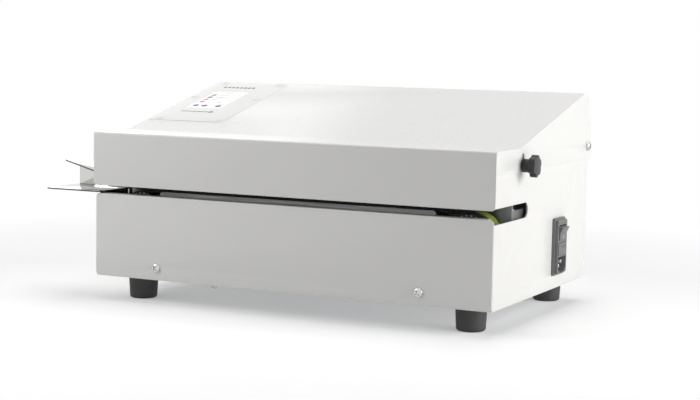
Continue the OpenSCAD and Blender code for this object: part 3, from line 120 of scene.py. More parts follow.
card = bpy.data.materials.new("card")
card.use_nodes = True
card_tree = card.node_tree
paper = card_tree.nodes["Principled BSDF"]
paper.inputs["Base Color"].default_value = card_white
paper.inputs["Roughness"].default_value = card_rough
paper.inputs["Specular IOR Level"].default_value = card_gloss
lift = card_tree.nodes.new("ShaderNodeEmission")
lift.inputs["Strength"].default_value = card_lift
lifted = card_tree.nodes.new("ShaderNodeAddShader")
card_tree.links.new(paper.outputs[0], lifted.inputs[0])
card_tree.links.new(lift.outputs[0], lifted.inputs[1])
plain = card_tree.nodes.new("ShaderNodeEmission")
card_place = card_tree.nodes.new("ShaderNodeTexCoord")
card_radius = card_tree.nodes.new("ShaderNodeVectorMath")
card_radius.operation = "LENGTH"
card_tree.links.new(card_place.outputs["Object"], card_radius.inputs[0])
far_out = card_tree.nodes.new("ShaderNodeMapRange")
far_out.interpolation_type = "SMOOTHSTEP"
far_out.inputs["From Min"].default_value = card_plain_from
far_out.inputs["From Max"].default_value = card_plain_to
card_tree.links.new(card_radius.outputs["Value"], far_out.inputs["Value"])
seen_card = blend_shaders(card_tree, far_out.outputs["Result"], lifted.outputs[0], plain.outputs[0])
whole_card = blend_shaders(card_tree, rays_that_see_white(card_tree), paper.outputs[0], seen_card)
card_tree.links.new(whole_card, card_tree.nodes["Material Output"].inputs["Surface"])
floor_data.materials.append(card)

# Room and lamps
# The room is white to the eye and gives almost no light of its own. Large soft boxes hang
# overhead and stand at the right, and a smaller one at the left front lights the panels.
# A slanted one at the left rear is mirrored in the left part of the slope.
ambient = 0.03
world = bpy.data.worlds.new("studio")
bpy.context.scene.world = world
world.use_nodes = True
sky = world.node_tree
dim_room = sky.nodes["Background"]
dim_room.inputs["Color"].default_value = (1, 1, 1, 1)
dim_room.inputs["Strength"].default_value = ambient
white_room = sky.nodes.new("ShaderNodeBackground")
white_room.inputs["Color"].default_value = (1, 1, 1, 1)
sky.links.new(blend_shaders(sky, rays_that_see_white(sky), dim_room.outputs[0], white_room.outputs[0]),
              sky.nodes["World Output"].inputs["Surface"])
# Each lamp has its name, place, aim, width and height, roll in degrees, and power.
lamps = [
    ("overhead", (0.0, 0.2, 1.75), (0.0, 0.0, 0.1), (1.5, 1.5), 0, 16.6),
    ("right_box", (2.0, 0.1, 0.55), (0.25, 0.0, 0.15), (1.5, 1.5), 0, 34),
    ("left_box", (-0.9, -0.9, 0.8), (-0.15, -0.1, 0.08), (0.6, 0.6), 0, 7.4),
    ("rear_left_box", (-1.85, 1.9, 0.98), (-1.85, 0.0, 0.98), (1.6, 1.2), 23.5, 5.6),
]
for lamp_name, lamp_place, lamp_aim, lamp_size, lamp_roll, lamp_power in lamps:
    lamp_data = bpy.data.lights.new(lamp_name, "AREA")
    lamp_data.shape = "RECTANGLE"
    lamp_data.size, lamp_data.size_y = lamp_size
    lamp_data.energy = lamp_power
    lamp = bpy.data.objects.new(lamp_name, lamp_data)
    lamp_turn = (Vector(lamp_aim) - Vector(lamp_place)).to_track_quat("-Z", "Y").to_matrix().to_4x4()
    lamp_slant = Matrix.Rotation(math.radians(lamp_roll), 4, "Z")
    lamp.matrix_world = Matrix.Translation(lamp_place) @ lamp_turn @ lamp_slant
    lamp.visible_camera = False
    bpy.context.scene.collection.objects.link(lamp)

# Bottom pan
# A pan of zinc-plated steel with turned-up edges carries the feet and the works. The
# plating has a faint crystalline mottle, and its cut edges are slightly broken.
body_of = {n: body for body, held in frame["record"]["behaviour"]["bodies"].items() for n in held}
slot_of = {part["node"]: part["material_slot"] for part in frame["record"]["subparts"]}
# A face wider than four square centimetres is shaded flat, so that it keeps one even tone.
wide_flat = 0.0004
noise_low = 0.3
noise_high = 0.7
same_point = 1e-6
flat_turn = math.radians(0.5)
sharp_turn = math.radians(30)


def surface(name, colour, drift, rough, grain, relief, metal=0.0, run=(1, 1, 1), mottle=12, gloss=0.5):
    """A surface whose colour wanders by drift, with a fine grain in its gloss and relief."""
    made = bpy.data.materials.new(name)
    made.use_nodes = True
    tree = made.node_tree
    shader = tree.nodes["Principled BSDF"]
    shader.inputs["Metallic"].default_value = metal
    shader.inputs["Specular IOR Level"].default_value = gloss
    place = tree.nodes.new("ShaderNodeTexCoord")
    along = tree.nodes.new("ShaderNodeMapping")
    along.inputs["Scale"].default_value = run
    fine = tree.nodes.new("ShaderNodeTexNoise")
    fine.inputs["Scale"].default_value = grain
    fine.inputs["Detail"].default_value = 3
    broad = tree.nodes.new("ShaderNodeTexNoise")
    broad.inputs["Scale"].default_value = mottle
    broad.inputs["Detail"].default_value = 4
    tone = tree.nodes.new("ShaderNodeMix")
    tone.name = "tone"
    tone.data_type = "RGBA"
    tone.inputs["A"].default_value = [c * (1 - drift) for c in colour] + [1]
    tone.inputs["B"].default_value = [min(c * (1 + drift), 1) for c in colour] + [1]
    shine = tree.nodes.new("ShaderNodeMapRange")
    shine.inputs["From Min"].default_value = noise_low
    shine.inputs["From Max"].default_value = noise_high
    shine.inputs["To Min"].default_value = rough[0]
    shine.inputs["To Max"].default_value = rough[1]
    bump = tree.nodes.new("ShaderNodeBump")
    bump.inputs["Distance"].default_value = relief
    tree.links.new(place.outputs["Object"], along.inputs["Vector"])
    tree.links.new(along.outputs["Vector"], fine.inputs["Vector"])
    tree.links.new(along.outputs["Vector"], broad.inputs["Vector"])
    tree.links.new(broad.outputs["Fac"], tone.inputs["Factor"])
    tree.links.new(tone.outputs["Result"], shader.inputs["Base Color"])
    tree.links.new(fine.outputs["Fac"], shine.inputs["Value"])
    tree.links.new(shine.outputs["Result"], shader.inputs["Roughness"])
    tree.links.new(fine.outputs["Fac"], bump.inputs["Height"])
    tree.links.new(bump.outputs["Normal"], shader.inputs["Normal"])
    return made


def piece(name, mesh, material, body, slot, *stands_for, crease=35):
    """A bmesh made into an object, smooth but for its creases and wide flats, and fixed to its body."""
    data = bpy.data.meshes.new(name)
    mesh.to_mesh(data)
    mesh.free()
    data.polygons.foreach_set("use_smooth", [face.area < wide_flat for face in data.polygons])
    data.set_sharp_from_angle(angle=math.radians(crease))
    data.materials.append(material)
    made = bpy.data.objects.new(name, data)
    bpy.context.scene.collection.objects.link(made)
    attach(made, body)
    if stands_for:
        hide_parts(*stands_for)
    return made


def eased(name, node, ease, material, segments=2):
    """A piece with a node's shape, its flat faces joined and its sharp edges eased."""
    mesh = bmesh.new()
    mesh.from_mesh(nodes[node].data)
    bmesh.ops.remove_doubles(mesh, verts=mesh.verts[:], dist=same_point)
    bmesh.ops.dissolve_limit(mesh, angle_limit=flat_turn, verts=mesh.verts[:], edges=mesh.edges[:])
    sharp = [e for e in mesh.edges if e.is_manifold and e.calc_face_angle() > sharp_turn]
    bmesh.ops.bevel(mesh, geom=sharp, offset=ease, offset_type="OFFSET", segments=segments,
                    profile=0.5, affect="EDGES", clamp_overlap=True, material=-1)
    return piece(name, mesh, material, body_of[node], slot_of[node], node)


zinc = surface("zinc_plate", (0.5, 0.51, 0.52), drift=0.14, rough=(0.3, 0.5), grain=420, relief=0.00003,
               metal=1, mottle=60)
sheet_ease = 0.0003
screw_ease = 0.00012
eased("bottom_pan", "bottom_plate", sheet_ease, zinc)
eased("foot_screw_set", "foot_screws", screw_ease, zinc)

# Feet
# Four turned rubber feet taper slightly and end in a soft rounded edge. Each is hollow
# below and held by a screw up its middle, with a thin shadow line under the casing.


def arc(centre, radius, start, end, steps):
    """Points of a round stretch of a profile."""
    turns = [math.radians(start + (end - start) * i / steps) for i in range(steps + 1)]
    return [(centre[0] + radius * math.cos(a), centre[1] + radius * math.sin(a)) for a in turns]


quarter = math.pi / 2
same_profile_point = 1e-7
turned_to = {"Z": Matrix(), "-Z": Matrix.Rotation(math.pi, 4, "X"), "Y": Matrix.Rotation(-quarter, 4, "X"),
             "-Y": Matrix.Rotation(quarter, 4, "X"), "X": Matrix.Rotation(quarter, 4, "Y")}


def spun(profile, foot, axis="Z", steps=64, mesh=None):
    """A profile of (radius, height) points turned round an axis that starts at foot."""
    turned = bmesh.new()
    ring = [turned.verts.new((r, 0, h)) for r, h in profile]
    lines = [turned.edges.new(pair) for pair in zip(ring, ring[1:])]
    if profile[0][0] > 0 or profile[-1][0] > 0:
        lines.append(turned.edges.new((ring[-1], ring[0])))
    bmesh.ops.spin(turned, geom=ring + lines, cent=(0, 0, 0), axis=(0, 0, 1), angle=math.tau,
                   steps=steps, use_merge=True)
    bmesh.ops.remove_doubles(turned, verts=turned.verts[:], dist=same_profile_point)
    bmesh.ops.recalc_face_normals(turned, faces=turned.faces[:])
    bmesh.ops.transform(turned, matrix=Matrix.Translation(foot) @ turned_to[axis], verts=turned.verts[:])
    if mesh is None:
        return turned
    held = bpy.data.meshes.new("turned")
    turned.to_mesh(held)
    turned.free()
    mesh.from_mesh(held)
    bpy.data.meshes.remove(held)
    return mesh


rubber = surface("foot_rubber", (0.05, 0.05, 0.051), drift=0.25, rough=(0.5, 0.68), grain=900,
                 relief=0.00004, mottle=40)
foot_edge = 0.003
foot_seam = 0.0008
foot_bore = 0.006
foot_floor = 0.008
foot_screw_bore = 0.0026
foot_low_share = 0.929
for corner in ("front_left", "front_right", "rear_left", "rear_right"):
    low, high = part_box("foot_" + corner)
    height = high.z - low.z
    top_r = (high.x - low.x) / 2
    low_r = top_r * foot_low_share
    profile = [(foot_screw_bore, height), (top_r - 2 * foot_seam, height)]
    profile += arc((top_r - foot_seam, height - 2 * foot_seam), foot_seam, 90, 0, 4)
    profile += arc((low_r - foot_edge, foot_edge), foot_edge, 0, -90, 8)
    profile += arc((foot_bore + foot_seam, foot_seam), foot_seam, -90, -180, 3)
    profile += [(foot_bore, height - foot_floor), (foot_screw_bore, height - foot_floor)]
    foot_place = ((low.x + high.x) / 2, (low.y + high.y) / 2, low.z)
    piece("rubber_foot_" + corner, spun(profile, foot_place), rubber, "casing", "black_rubber",
          "foot_" + corner)

# Base walls
# Side walls and rear wall are one folded steel sheet under a white powder coat. The coat
# rounds every cut edge, and has the fine orange-peel skin of baked powder.
powder = surface("white_powder_coat", (0.84, 0.835, 0.815), drift=0.01, rough=(0.2, 0.3), grain=1500,
                 relief=0.000008, mottle=7, gloss=0.12)
coat_ease = 0.00045
eased("base_walls", "base_shell", coat_ease, powder, segments=3)
chrome = surface("screw_chrome", (0.58, 0.58, 0.58), drift=0.06, rough=(0.1, 0.2), grain=1200,
                 relief=0.00001, metal=1, mottle=90)
eased("rear_wall_screws", "base_screws", screw_ease, chrome)

# Plug under the front edge
# A small white plastic plug closes a spare hole of the pan, just behind the front panel.
# It has a low dome, and shows as a pale bump under the panel's lower edge.
plug_x = -0.061
plug_y = -0.1335
plug_r = 0.0035
plug_h = 0.0042
plug_plastic = surface("plug_plastic", (0.8, 0.8, 0.79), drift=0.02, rough=(0.35, 0.5), grain=1100,
                       relief=0.00001, mottle=30)
plug_dome = [(plug_r * x, plug_h * y) for x, y in arc((0, 0), 1, 0, 90, 6)][:-1] + [(0, plug_h)]
piece("pan_plug", spun([(0, 0)] + plug_dome, (plug_x, plug_y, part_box("bottom_plate")[0].z), "-Z", 40),
      plug_plastic, "casing", "ivory_plastic")

# Mains inlet
# One moulded module holds a rocker, a fuse drawer and a three-pole appliance inlet. It
# snaps into the wall behind a stepped flange, in dark grey spark-textured plastic.
moulding = surface("inlet_moulding", (0.16, 0.162, 0.163), drift=0.1, rough=(0.42, 0.6), grain=1300,
                   relief=0.00003, mottle=60)
module_ease = 0.0005
drawer_ease = 0.0004
pin_ease = 0.0004
eased("inlet_flange_and_body", "inlet_housing", module_ease, moulding, segments=3)
eased("switch_rocker", "power_rocker", module_ease, moulding, segments=3)
eased("drawer_moulding", "fuse_drawer", drawer_ease, moulding, segments=3)
pin_metal = surface("pin_metal", (0.78, 0.77, 0.74), drift=0.06, rough=(0.16, 0.3), grain=800,
                    relief=0.00001, metal=1, mottle=150)
eased("inlet_pin_set", "inlet_pins", pin_ease, pin_metal)

# Marks on the rocker
# A bar for on and a ring for off are pad-printed in pale grey, one on each of the two
# slanting faces of the rocker.
rocker_tilt = math.radians(14)
rocker_face_rise = 0.0014
rocker_face_l = 0.00715
rocker_slant = math.atan2(rocker_face_rise, rocker_face_l)
rocker_dip = 0.0026
mark_place = 0.0038
mark_t = 0.00005
on_bar_l = 0.0032
on_bar_w = 0.0007
ring_in_r = 0.0012
ring_out_r = 0.0018
ring_sunk = 0.00002
mark_white = surface("mark_white", (0.6, 0.6, 0.6), drift=0.05, rough=(0.5, 0.7), grain=900,
                     relief=0.000005)
rocker_axis = Vector(next(j["pos_m"] for j in frame["joints"] if j["name"] == "power_switch"))
rocker_turned = Matrix.Translation(rocker_axis) @ Matrix.Rotation(rocker_tilt, 4, "Y")


def plates(marks, thick, plane):
    """Thin plates on a plane: bars as (x0, y0, x1, y1), and dots as (x, y, radius)."""
    flat = bmesh.new()
    for mark in marks:
        if len(mark) == 4:
            x0, y0, x1, y1 = mark
            centre = Matrix.Translation(((x0 + x1) / 2, (y0 + y1) / 2, 0))
            bmesh.ops.create_grid(flat, x_segments=1, y_segments=1, size=0.5,
                                  matrix=centre @ Matrix.Diagonal((x1 - x0, y1 - y0, 1, 1)))
        else:
            bmesh.ops.create_circle(flat, cap_ends=True, radius=mark[2], segments=36,
                                    matrix=Matrix.Translation((mark[0], mark[1], 0)))
    bmesh.ops.solidify(flat, geom=flat.faces[:], thickness=-thick)
    bmesh.ops.recalc_face_normals(flat, faces=flat.faces[:])
    bmesh.ops.transform(flat, matrix=plane, verts=flat.verts[:])
    return flat


rocker_middle = rocker_turned @ Matrix.Translation((rocker_dip, 0, 0))
on_face = rocker_middle @ Matrix.Rotation(quarter + rocker_slant, 4, "Y")
off_face = rocker_middle @ Matrix.Rotation(quarter - rocker_slant, 4, "Y")
on_bar = (-mark_place - on_bar_l / 2, -on_bar_w / 2, -mark_place + on_bar_l / 2, on_bar_w / 2)
piece("on_mark", plates([on_bar], mark_t, on_face), mark_white, "rocker", "ivory_plastic")
ring = [(ring_in_r, -ring_sunk), (ring_out_r, -ring_sunk), (ring_out_r, mark_t), (ring_in_r, mark_t)]
off_ring = spun(ring, (mark_place, 0, 0), steps=32)
bmesh.ops.transform(off_ring, matrix=off_face, verts=off_ring.verts[:])
piece("off_mark", off_ring, mark_white, "rocker", "ivory_plastic")

# Fuses
# Two glass fuses with plated end caps lie side by side in the drawer. Each is one glass
# tube, which runs through both of its caps.
fuse_glass = surface("fuse_glass", (0.8, 0.83, 0.83), drift=0.04, rough=(0.05, 0.1), grain=500,
                     relief=0.000005)
fuse_low, fuse_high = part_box("fuses")
fuse_r = (fuse_high.z - fuse_low.z) / 2
fuse_l = fuse_high.x - fuse_low.x
fuse_z = (fuse_low.z + fuse_high.z) / 2
fuse_cap_l = 0.0045
fuse_cap_edge = 0.0004
fuse_tube_share = 0.93
fuse_tube_r = fuse_tube_share * fuse_r
fuse_tube_in = 0.0003
fuse_tube_l = fuse_l - 2 * fuse_tube_in
cap_profile = [(0, 0)] + arc((fuse_r - fuse_cap_edge, fuse_cap_edge), fuse_cap_edge, -90, 0, 3)
cap_profile += arc((fuse_r - fuse_cap_edge, fuse_cap_l - fuse_cap_edge), fuse_cap_edge, 0, 90, 3)
cap_profile += [(0, fuse_cap_l)]
tube_profile = [(0, 0), (fuse_tube_r, 0), (fuse_tube_r, fuse_tube_l), (0, fuse_tube_l)]
tubes = bmesh.new()
caps = bmesh.new()
for fuse_y in (fuse_low.y + fuse_r, fuse_high.y - fuse_r):
    spun(tube_profile, (fuse_low.x + fuse_tube_in, fuse_y, fuse_z), "X", 32, tubes)
    for cap_x in (fuse_low.x, fuse_high.x - fuse_cap_l):
        spun(cap_profile, (cap_x, fuse_y, fuse_z), "X", 32, caps)
piece("fuse_tubes", tubes, fuse_glass, "drawer", "glass_tube", "fuses")
piece("fuse_caps", caps, pin_metal, "drawer", "bare_steel", "fuses")

# Upright frame and its pillars
# A plate of zinc-plated steel carries every shaft. Its plating is a little rougher than the
# pan's, and painted darker as painted shade inside the casing. Turned aluminium pillars hold
# the front bar and the belt beds off it, and sintered bronze bushes line its bores.
zinc_painted_shade = surface("zinc_painted_shade", (0.26, 0.265, 0.27), drift=0.14, rough=(0.35, 0.55), grain=420,
                    relief=0.00003, metal=1, mottle=60)
eased("upright_plate", "mechanism_frame", sheet_ease, zinc_painted_shade)
eased("frame_screw_set", "frame_screws", screw_ease, zinc)
turned_aluminium = surface("turned_aluminium", (0.6, 0.61, 0.62), drift=0.06, rough=(0.24, 0.4), grain=900,
                           relief=0.00002, metal=1, run=(1, 6, 1))
pillar_ease = 0.0003
eased("turned_pillars", "bar_pillars", pillar_ease, turned_aluminium)
bronze = surface("sintered_bronze", (0.42, 0.26, 0.13), drift=0.2, rough=(0.4, 0.6), grain=2500,
                 relief=0.00003, metal=1, mottle=300)
bush_ease = 0.0003
eased("bronze_bushes", "shaft_bushes", bush_ease, bronze)

# Shafts and pulleys
# Ground steel shafts run in the bushes. Each carries a toothed pulley at the front. Its
# flanges are black-anodised, and the bright ends of its teeth show through their rims.
ground_steel = surface("ground_steel", (0.55, 0.56, 0.57), drift=0.05, rough=(0.14, 0.28), grain=700,
                       relief=0.00001, metal=1, run=(1, 8, 1))
black_anodised = surface("black_anodised", (0.02, 0.02, 0.022), drift=0.15, rough=(0.35, 0.5), grain=900,
                         relief=0.00001)
spindle_ease = 0.0002
pulley_ease = 0.0001
tooth_end_w = 0.0023
tooth_end_h = 0.0011
tooth_end_r = 0.0227
tooth_end_t = 0.0001
tooth_count = 28
for shaft in ("lower_drive", "upper_drive", "lower_idler", "upper_idler"):
    eased(shaft + "_spindle", shaft + "_shaft", spindle_ease, ground_steel)
    eased(shaft + "_toothed_pulley", shaft + "_pulley", pulley_ease, black_anodised)
    pulley_low, pulley_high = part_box(shaft + "_pulley")
    pulley_front = Matrix.Translation(((pulley_low.x + pulley_high.x) / 2, pulley_low.y,
                                       (pulley_low.z + pulley_high.z) / 2)) @ turned_to["-Y"]
    teeth = bmesh.new()
    for i in range(tooth_count):
        around = Matrix.Rotation(math.tau * (i + 0.5) / tooth_count, 4, "Z")
        tooth_place = around @ Matrix.Translation((tooth_end_r, 0, 0))
        bmesh.ops.create_grid(teeth, x_segments=1, y_segments=1, size=0.5,
                              matrix=tooth_place @ Matrix.Diagonal((tooth_end_h, tooth_end_w, 1, 1)))
    bmesh.ops.solidify(teeth, geom=teeth.faces[:], thickness=-tooth_end_t)
    bmesh.ops.recalc_face_normals(teeth, faces=teeth.faces[:])
    bmesh.ops.transform(teeth, matrix=pulley_front, verts=teeth.verts[:])
    piece(shaft + "_tooth_ends", teeth, turned_aluminium, body_of[shaft + "_pulley"], "aluminium")

# Pressure wheels
# The lower wheel is a turned aluminium hub with a moulded green tyre. The upper one is a
# steel roller that presses the hot seam against the tyre.
hub_low, hub_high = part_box("pressure_wheel")
tyre_low, tyre_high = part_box("pressure_tyre")
wheel_x = (hub_low.x + hub_high.x) / 2
wheel_z = (hub_low.z + hub_high.z) / 2
hub_r = (hub_high.x - hub_low.x) / 2
tyre_r = (tyre_high.x - tyre_low.x) / 2
tyre_w = tyre_high.y - tyre_low.y
tyre_round = 0.0012
tyre_rubber = surface("tyre_rubber", (0.3, 0.37, 0.07), drift=0.06, rough=(0.42, 0.58), grain=1500,
                      relief=0.00002, mottle=50)
tyre_profile = arc((tyre_r - tyre_round, tyre_round), tyre_round, -90, 0, 6)
tyre_profile += arc((tyre_r - tyre_round, tyre_w - tyre_round), tyre_round, 0, 90, 6)
tyre_profile += [(hub_r, tyre_w), (hub_r, 0)]
piece("moulded_tyre", spun(tyre_profile, (wheel_x, tyre_low.y, wheel_z), "Y", 96), tyre_rubber,
      "lower_drive", "green_tyre", "pressure_tyre")
hub_ease = 0.0003
roller_ease = 0.0004
eased("wheel_hub", "pressure_wheel", hub_ease, turned_aluminium)
eased("steel_roller", "pressure_roller", roller_ease, ground_steel)

# Gears
# Hobbed brass gears tie the two drive shafts together behind the frame, and the motor's
# pinion turns the lower one.
brass = surface("gear_brass", (0.6, 0.42, 0.15), drift=0.1, rough=(0.22, 0.4), grain=800, relief=0.00002,
                metal=1, mottle=60)
gear_ease = 0.00012
for gear in ("lower_gear", "upper_gear", "motor_pinion"):
    eased("hobbed_" + gear, gear, gear_ease, brass)

# Belts and their beds
# Two black toothed belts face each other across the pouch's path, and slide on strips of
# pale plastic. Their moulded rubber is satin, with fine fabric on the teeth.
belt_rubber = surface("belt_rubber", (0.028, 0.028, 0.03), drift=0.25, rough=(0.42, 0.6), grain=1800,
                      relief=0.00003, mottle=200)
bed_plastic = surface("bed_plastic", (0.74, 0.71, 0.62), drift=0.04, rough=(0.35, 0.5), grain=900,
                      relief=0.00001)
belt_ease = 0.00015
strip_ease = 0.0003
for level in ("lower", "upper"):
    eased(level + "_toothed_belt", level + "_belt", belt_ease, belt_rubber)
    eased(level + "_slide_strip", level + "_belt_bed", strip_ease, bed_plastic)

# Front bar
# A bar of brushed stainless sheet stands in front of the lower belt, screwed to the
# pillars. Its grain runs along the slot.
brushed = surface("brushed_steel", (0.32, 0.322, 0.324), drift=0.12, rough=(0.3, 0.5), grain=900,
                  relief=0.00002, metal=1, run=(0.03, 1, 1), mottle=260)
eased("slot_bar", "front_bar", sheet_ease, brushed)

# Heated bars
# Two milled aluminium bars face each other behind the belts. The upper one floats under
# a folded bracket, and board pads keep the heat of the lower one from the frame.
milled = surface("milled_aluminium", (0.58, 0.59, 0.6), drift=0.06, rough=(0.26, 0.42), grain=700,
                 relief=0.00002, metal=1, run=(1, 0.1, 1))
bar_ease = 0.0003
pad_ease = 0.0004
for level in ("lower", "upper"):
    eased(level + "_heated_bar", level + "_heater", bar_ease, milled)
eased("spring_bracket", "heater_hanger", sheet_ease, zinc)
pad_board = surface("insulating_board", (0.72, 0.69, 0.58), drift=0.1, rough=(0.7, 0.9), grain=1600,
                    relief=0.00005, mottle=200)
eased("insulating_pads", "heater_pads", pad_ease, pad_board)

# Springs
# Two small compression springs of round wire press the upper bar down. In the machine they
# shorten as a pouch lifts the bar; here they are fixed to the casing at one length.
spring_steel = surface("spring_steel", (0.42, 0.42, 0.43), drift=0.1, rough=(0.2, 0.35), grain=900,
                       relief=0.00001, metal=1)
spring_low, spring_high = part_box("heater_springs")
spring_wire_r = 0.0005
spring_turns = 5
spring_r = (spring_high.y - spring_low.y) / 2 - spring_wire_r
spring_y = (spring_low.y + spring_high.y) / 2
spring_rise = spring_high.z - spring_low.z - 2 * spring_wire_r
wire_sides = 10
wire_steps = 28
springs = bmesh.new()
for spring_x in (spring_low.x + spring_r + spring_wire_r, spring_high.x - spring_r - spring_wire_r):
    wire_place = Matrix.Translation((spring_x + spring_r, spring_y, spring_low.z + spring_wire_r))
    wire = bmesh.ops.create_circle(springs, cap_ends=True, radius=spring_wire_r, segments=wire_sides,
                                   matrix=wire_place @ turned_to["Y"])
    wire_end = list({part for v in wire["verts"] for part in (v, *v.link_edges, *v.link_faces)})
    wire_count = spring_turns * wire_steps
    bmesh.ops.spin(springs, geom=wire_end, cent=(spring_x, spring_y, 0), axis=(0, 0, 1),
                   angle=math.tau * spring_turns, dvec=(0, 0, spring_rise / wire_count), steps=wire_count)
bmesh.ops.recalc_face_normals(springs, faces=springs.faces[:])
spring_pair = piece("wound_springs", springs, spring_steel, "casing", "bare_steel", "heater_springs",
                    crease=60)
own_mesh(spring_pair)

# Entry sensor
# A fork of dark moulded plastic is fixed to the front of the frame at the entry. It
# straddles the pouch's path and sees the pouch come in.
sensor_ease = 0.0004
eased("sensor_fork", "entry_sensor", sensor_ease, moulding, segments=3)

# Motor
# A geared motor hangs on a bent steel bracket behind the gears: a die-cast gearbox, a
# lacquered can with a rolled end, two brass tags and a steel output shaft.
eased("bent_bracket", "motor_bracket", sheet_ease, zinc)
cast_zinc = surface("cast_zinc", (0.4, 0.4, 0.41), drift=0.1, rough=(0.4, 0.6), grain=900, relief=0.00004,
                    metal=1, mottle=80)
lacquer = surface("motor_lacquer", (0.1, 0.1, 0.105), drift=0.2, rough=(0.25, 0.4), grain=600,
                  relief=0.00002, mottle=50)
motor_low, motor_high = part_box("drive_motor")
motor_x = (motor_low.x + motor_high.x) / 2
motor_z = (motor_low.z + motor_high.z) / 2
gearbox_r = (motor_high.x - motor_low.x) / 2
gearbox_l = 0.026
motor_can_r = 0.017
motor_can_l = 0.044
motor_tag_l = 0.004
boss_l = 0.002
boss_r = 0.006
spindle_r = 0.003
motor_edge = 0.001
seam_y = 0.009
seam_w = 0.0024
seam_d = 0.0006
groove_back = 0.006
groove_w = 0.002
groove_d = 0.0005
can_round = 0.0025
cup_r = 0.006
cup_d = 0.0008
cup_slant = 0.0005
gearbox_y = motor_high.y - motor_tag_l - motor_can_l - gearbox_l
gearbox_profile = [(0, 0)] + arc((gearbox_r - motor_edge, motor_edge), motor_edge, -90, 0, 4)
gearbox_profile += [(gearbox_r, seam_y), (gearbox_r - seam_d, seam_y + seam_d),
                    (gearbox_r - seam_d, seam_y + seam_w - seam_d), (gearbox_r, seam_y + seam_w)]
gearbox_profile += arc((gearbox_r - motor_edge, gearbox_l - motor_edge), motor_edge, 0, 90, 4)
gearbox_profile += [(0, gearbox_l)]
piece("motor_gearbox", spun(gearbox_profile, (motor_x, gearbox_y, motor_z), "Y"), cast_zinc, "casing",
      "bare_steel", "drive_motor")
groove_y = motor_can_l - groove_back
can_profile = [(0, 0), (motor_can_r, 0), (motor_can_r, groove_y),
               (motor_can_r - groove_d, groove_y + groove_d),
               (motor_can_r - groove_d, groove_y + groove_w - groove_d), (motor_can_r, groove_y + groove_w)]
can_profile += arc((motor_can_r - can_round, motor_can_l - can_round), can_round, 0, 90, 6)
can_profile += [(cup_r, motor_can_l), (cup_r - cup_slant, motor_can_l - cup_d), (0, motor_can_l - cup_d)]
piece("motor_can", spun(can_profile, (motor_x, gearbox_y + gearbox_l, motor_z), "Y"), lacquer, "casing",
      "motor_paint", "drive_motor")
output_l = gearbox_y - motor_low.y
output_edge = 0.0004
output = spun([(0, 0), (boss_r - output_edge, 0), (boss_r, output_edge), (boss_r, boss_l), (0, boss_l)],
              (motor_x, gearbox_y - boss_l, motor_z), "Y")
spun([(0, 0), (spindle_r - output_edge, 0), (spindle_r, output_edge), (spindle_r, output_l), (0, output_l)],
     (motor_x, motor_low.y, motor_z), "Y", 32, output)
piece("motor_output", output, ground_steel, "casing", "bare_steel", "drive_motor")


def block(mesh, low, high, ease=0.0):
    """A squared block between two corners, with eased edges, added to a bmesh."""
    low, high = Vector(low), Vector(high)
    spread = Matrix.Translation((low + high) / 2) @ Matrix.Diagonal((*(high - low), 1))
    made = bmesh.ops.create_cube(mesh, size=1, matrix=spread)
    if ease:
        edges = list({e for v in made["verts"] for e in v.link_edges})
        bmesh.ops.bevel(mesh, geom=edges, offset=ease, offset_type="OFFSET", segments=2, profile=0.5,
                        affect="EDGES", clamp_overlap=True, material=-1)
    return mesh


tag_t = 0.0006
tag_w = 0.0048
tag_sunk = 0.001
tag_ease = 0.0001
tags = bmesh.new()
for side in (-1, 1):
    tag_x = motor_x + side * motor_can_r / 2
    block(tags, (tag_x - tag_t / 2, motor_high.y - motor_tag_l - tag_sunk, motor_z - tag_w / 2),
          (tag_x + tag_t / 2, motor_high.y, motor_z + tag_w / 2), tag_ease)
piece("motor_tags", tags, brass, "casing", "brass", "drive_motor")

# Power supply
# A pierced cover of zinc-plated steel stands on the pan, with a row of screw terminals
# along its front edge.
eased("pierced_cover", "power_supply", sheet_ease, zinc)
terminal_black = surface("terminal_black", (0.03, 0.03, 0.032), drift=0.2, rough=(0.3, 0.45), grain=900,
                         relief=0.00001)
supply_low, supply_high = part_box("power_supply")
terminal_count = 6
terminal_pitch = 0.0095
terminal_wall = 0.0012
terminal_d = 0.011
terminal_h = 0.013
terminal_seat_h = 0.0078
terminal_ease = 0.0003
terminal_screw_r = 0.003
terminal_screw_h = 0.0018
terminal_screw_edge = 0.0006
terminal_screw = [(0, 0), (terminal_screw_r, 0), (terminal_screw_r, terminal_screw_h - terminal_screw_edge),
                  (terminal_screw_r - terminal_screw_edge, terminal_screw_h), (0, terminal_screw_h)]
terminal_x = (supply_low.x + supply_high.x - terminal_count * terminal_pitch) / 2
strip = bmesh.new()
strip_screws = bmesh.new()
for i in range(terminal_count + 1):
    wall_x = terminal_x + i * terminal_pitch
    block(strip, (wall_x, supply_low.y - terminal_d, supply_low.z),
          (wall_x + terminal_wall, supply_low.y, supply_low.z + terminal_h), terminal_ease)
    if i < terminal_count:
        block(strip, (wall_x + terminal_wall, supply_low.y - terminal_d, supply_low.z),
              (wall_x + terminal_pitch, supply_low.y, supply_low.z + terminal_seat_h), terminal_ease)
        spun(terminal_screw, (wall_x + (terminal_wall + terminal_pitch) / 2, supply_low.y - terminal_d / 2,
                              supply_low.z + terminal_seat_h), "Z", 24, strip_screws)
piece("supply_terminals", strip, terminal_black, "casing", "dark_plastic")
piece("supply_terminal_screws", strip_screws, brass, "casing", "brass")

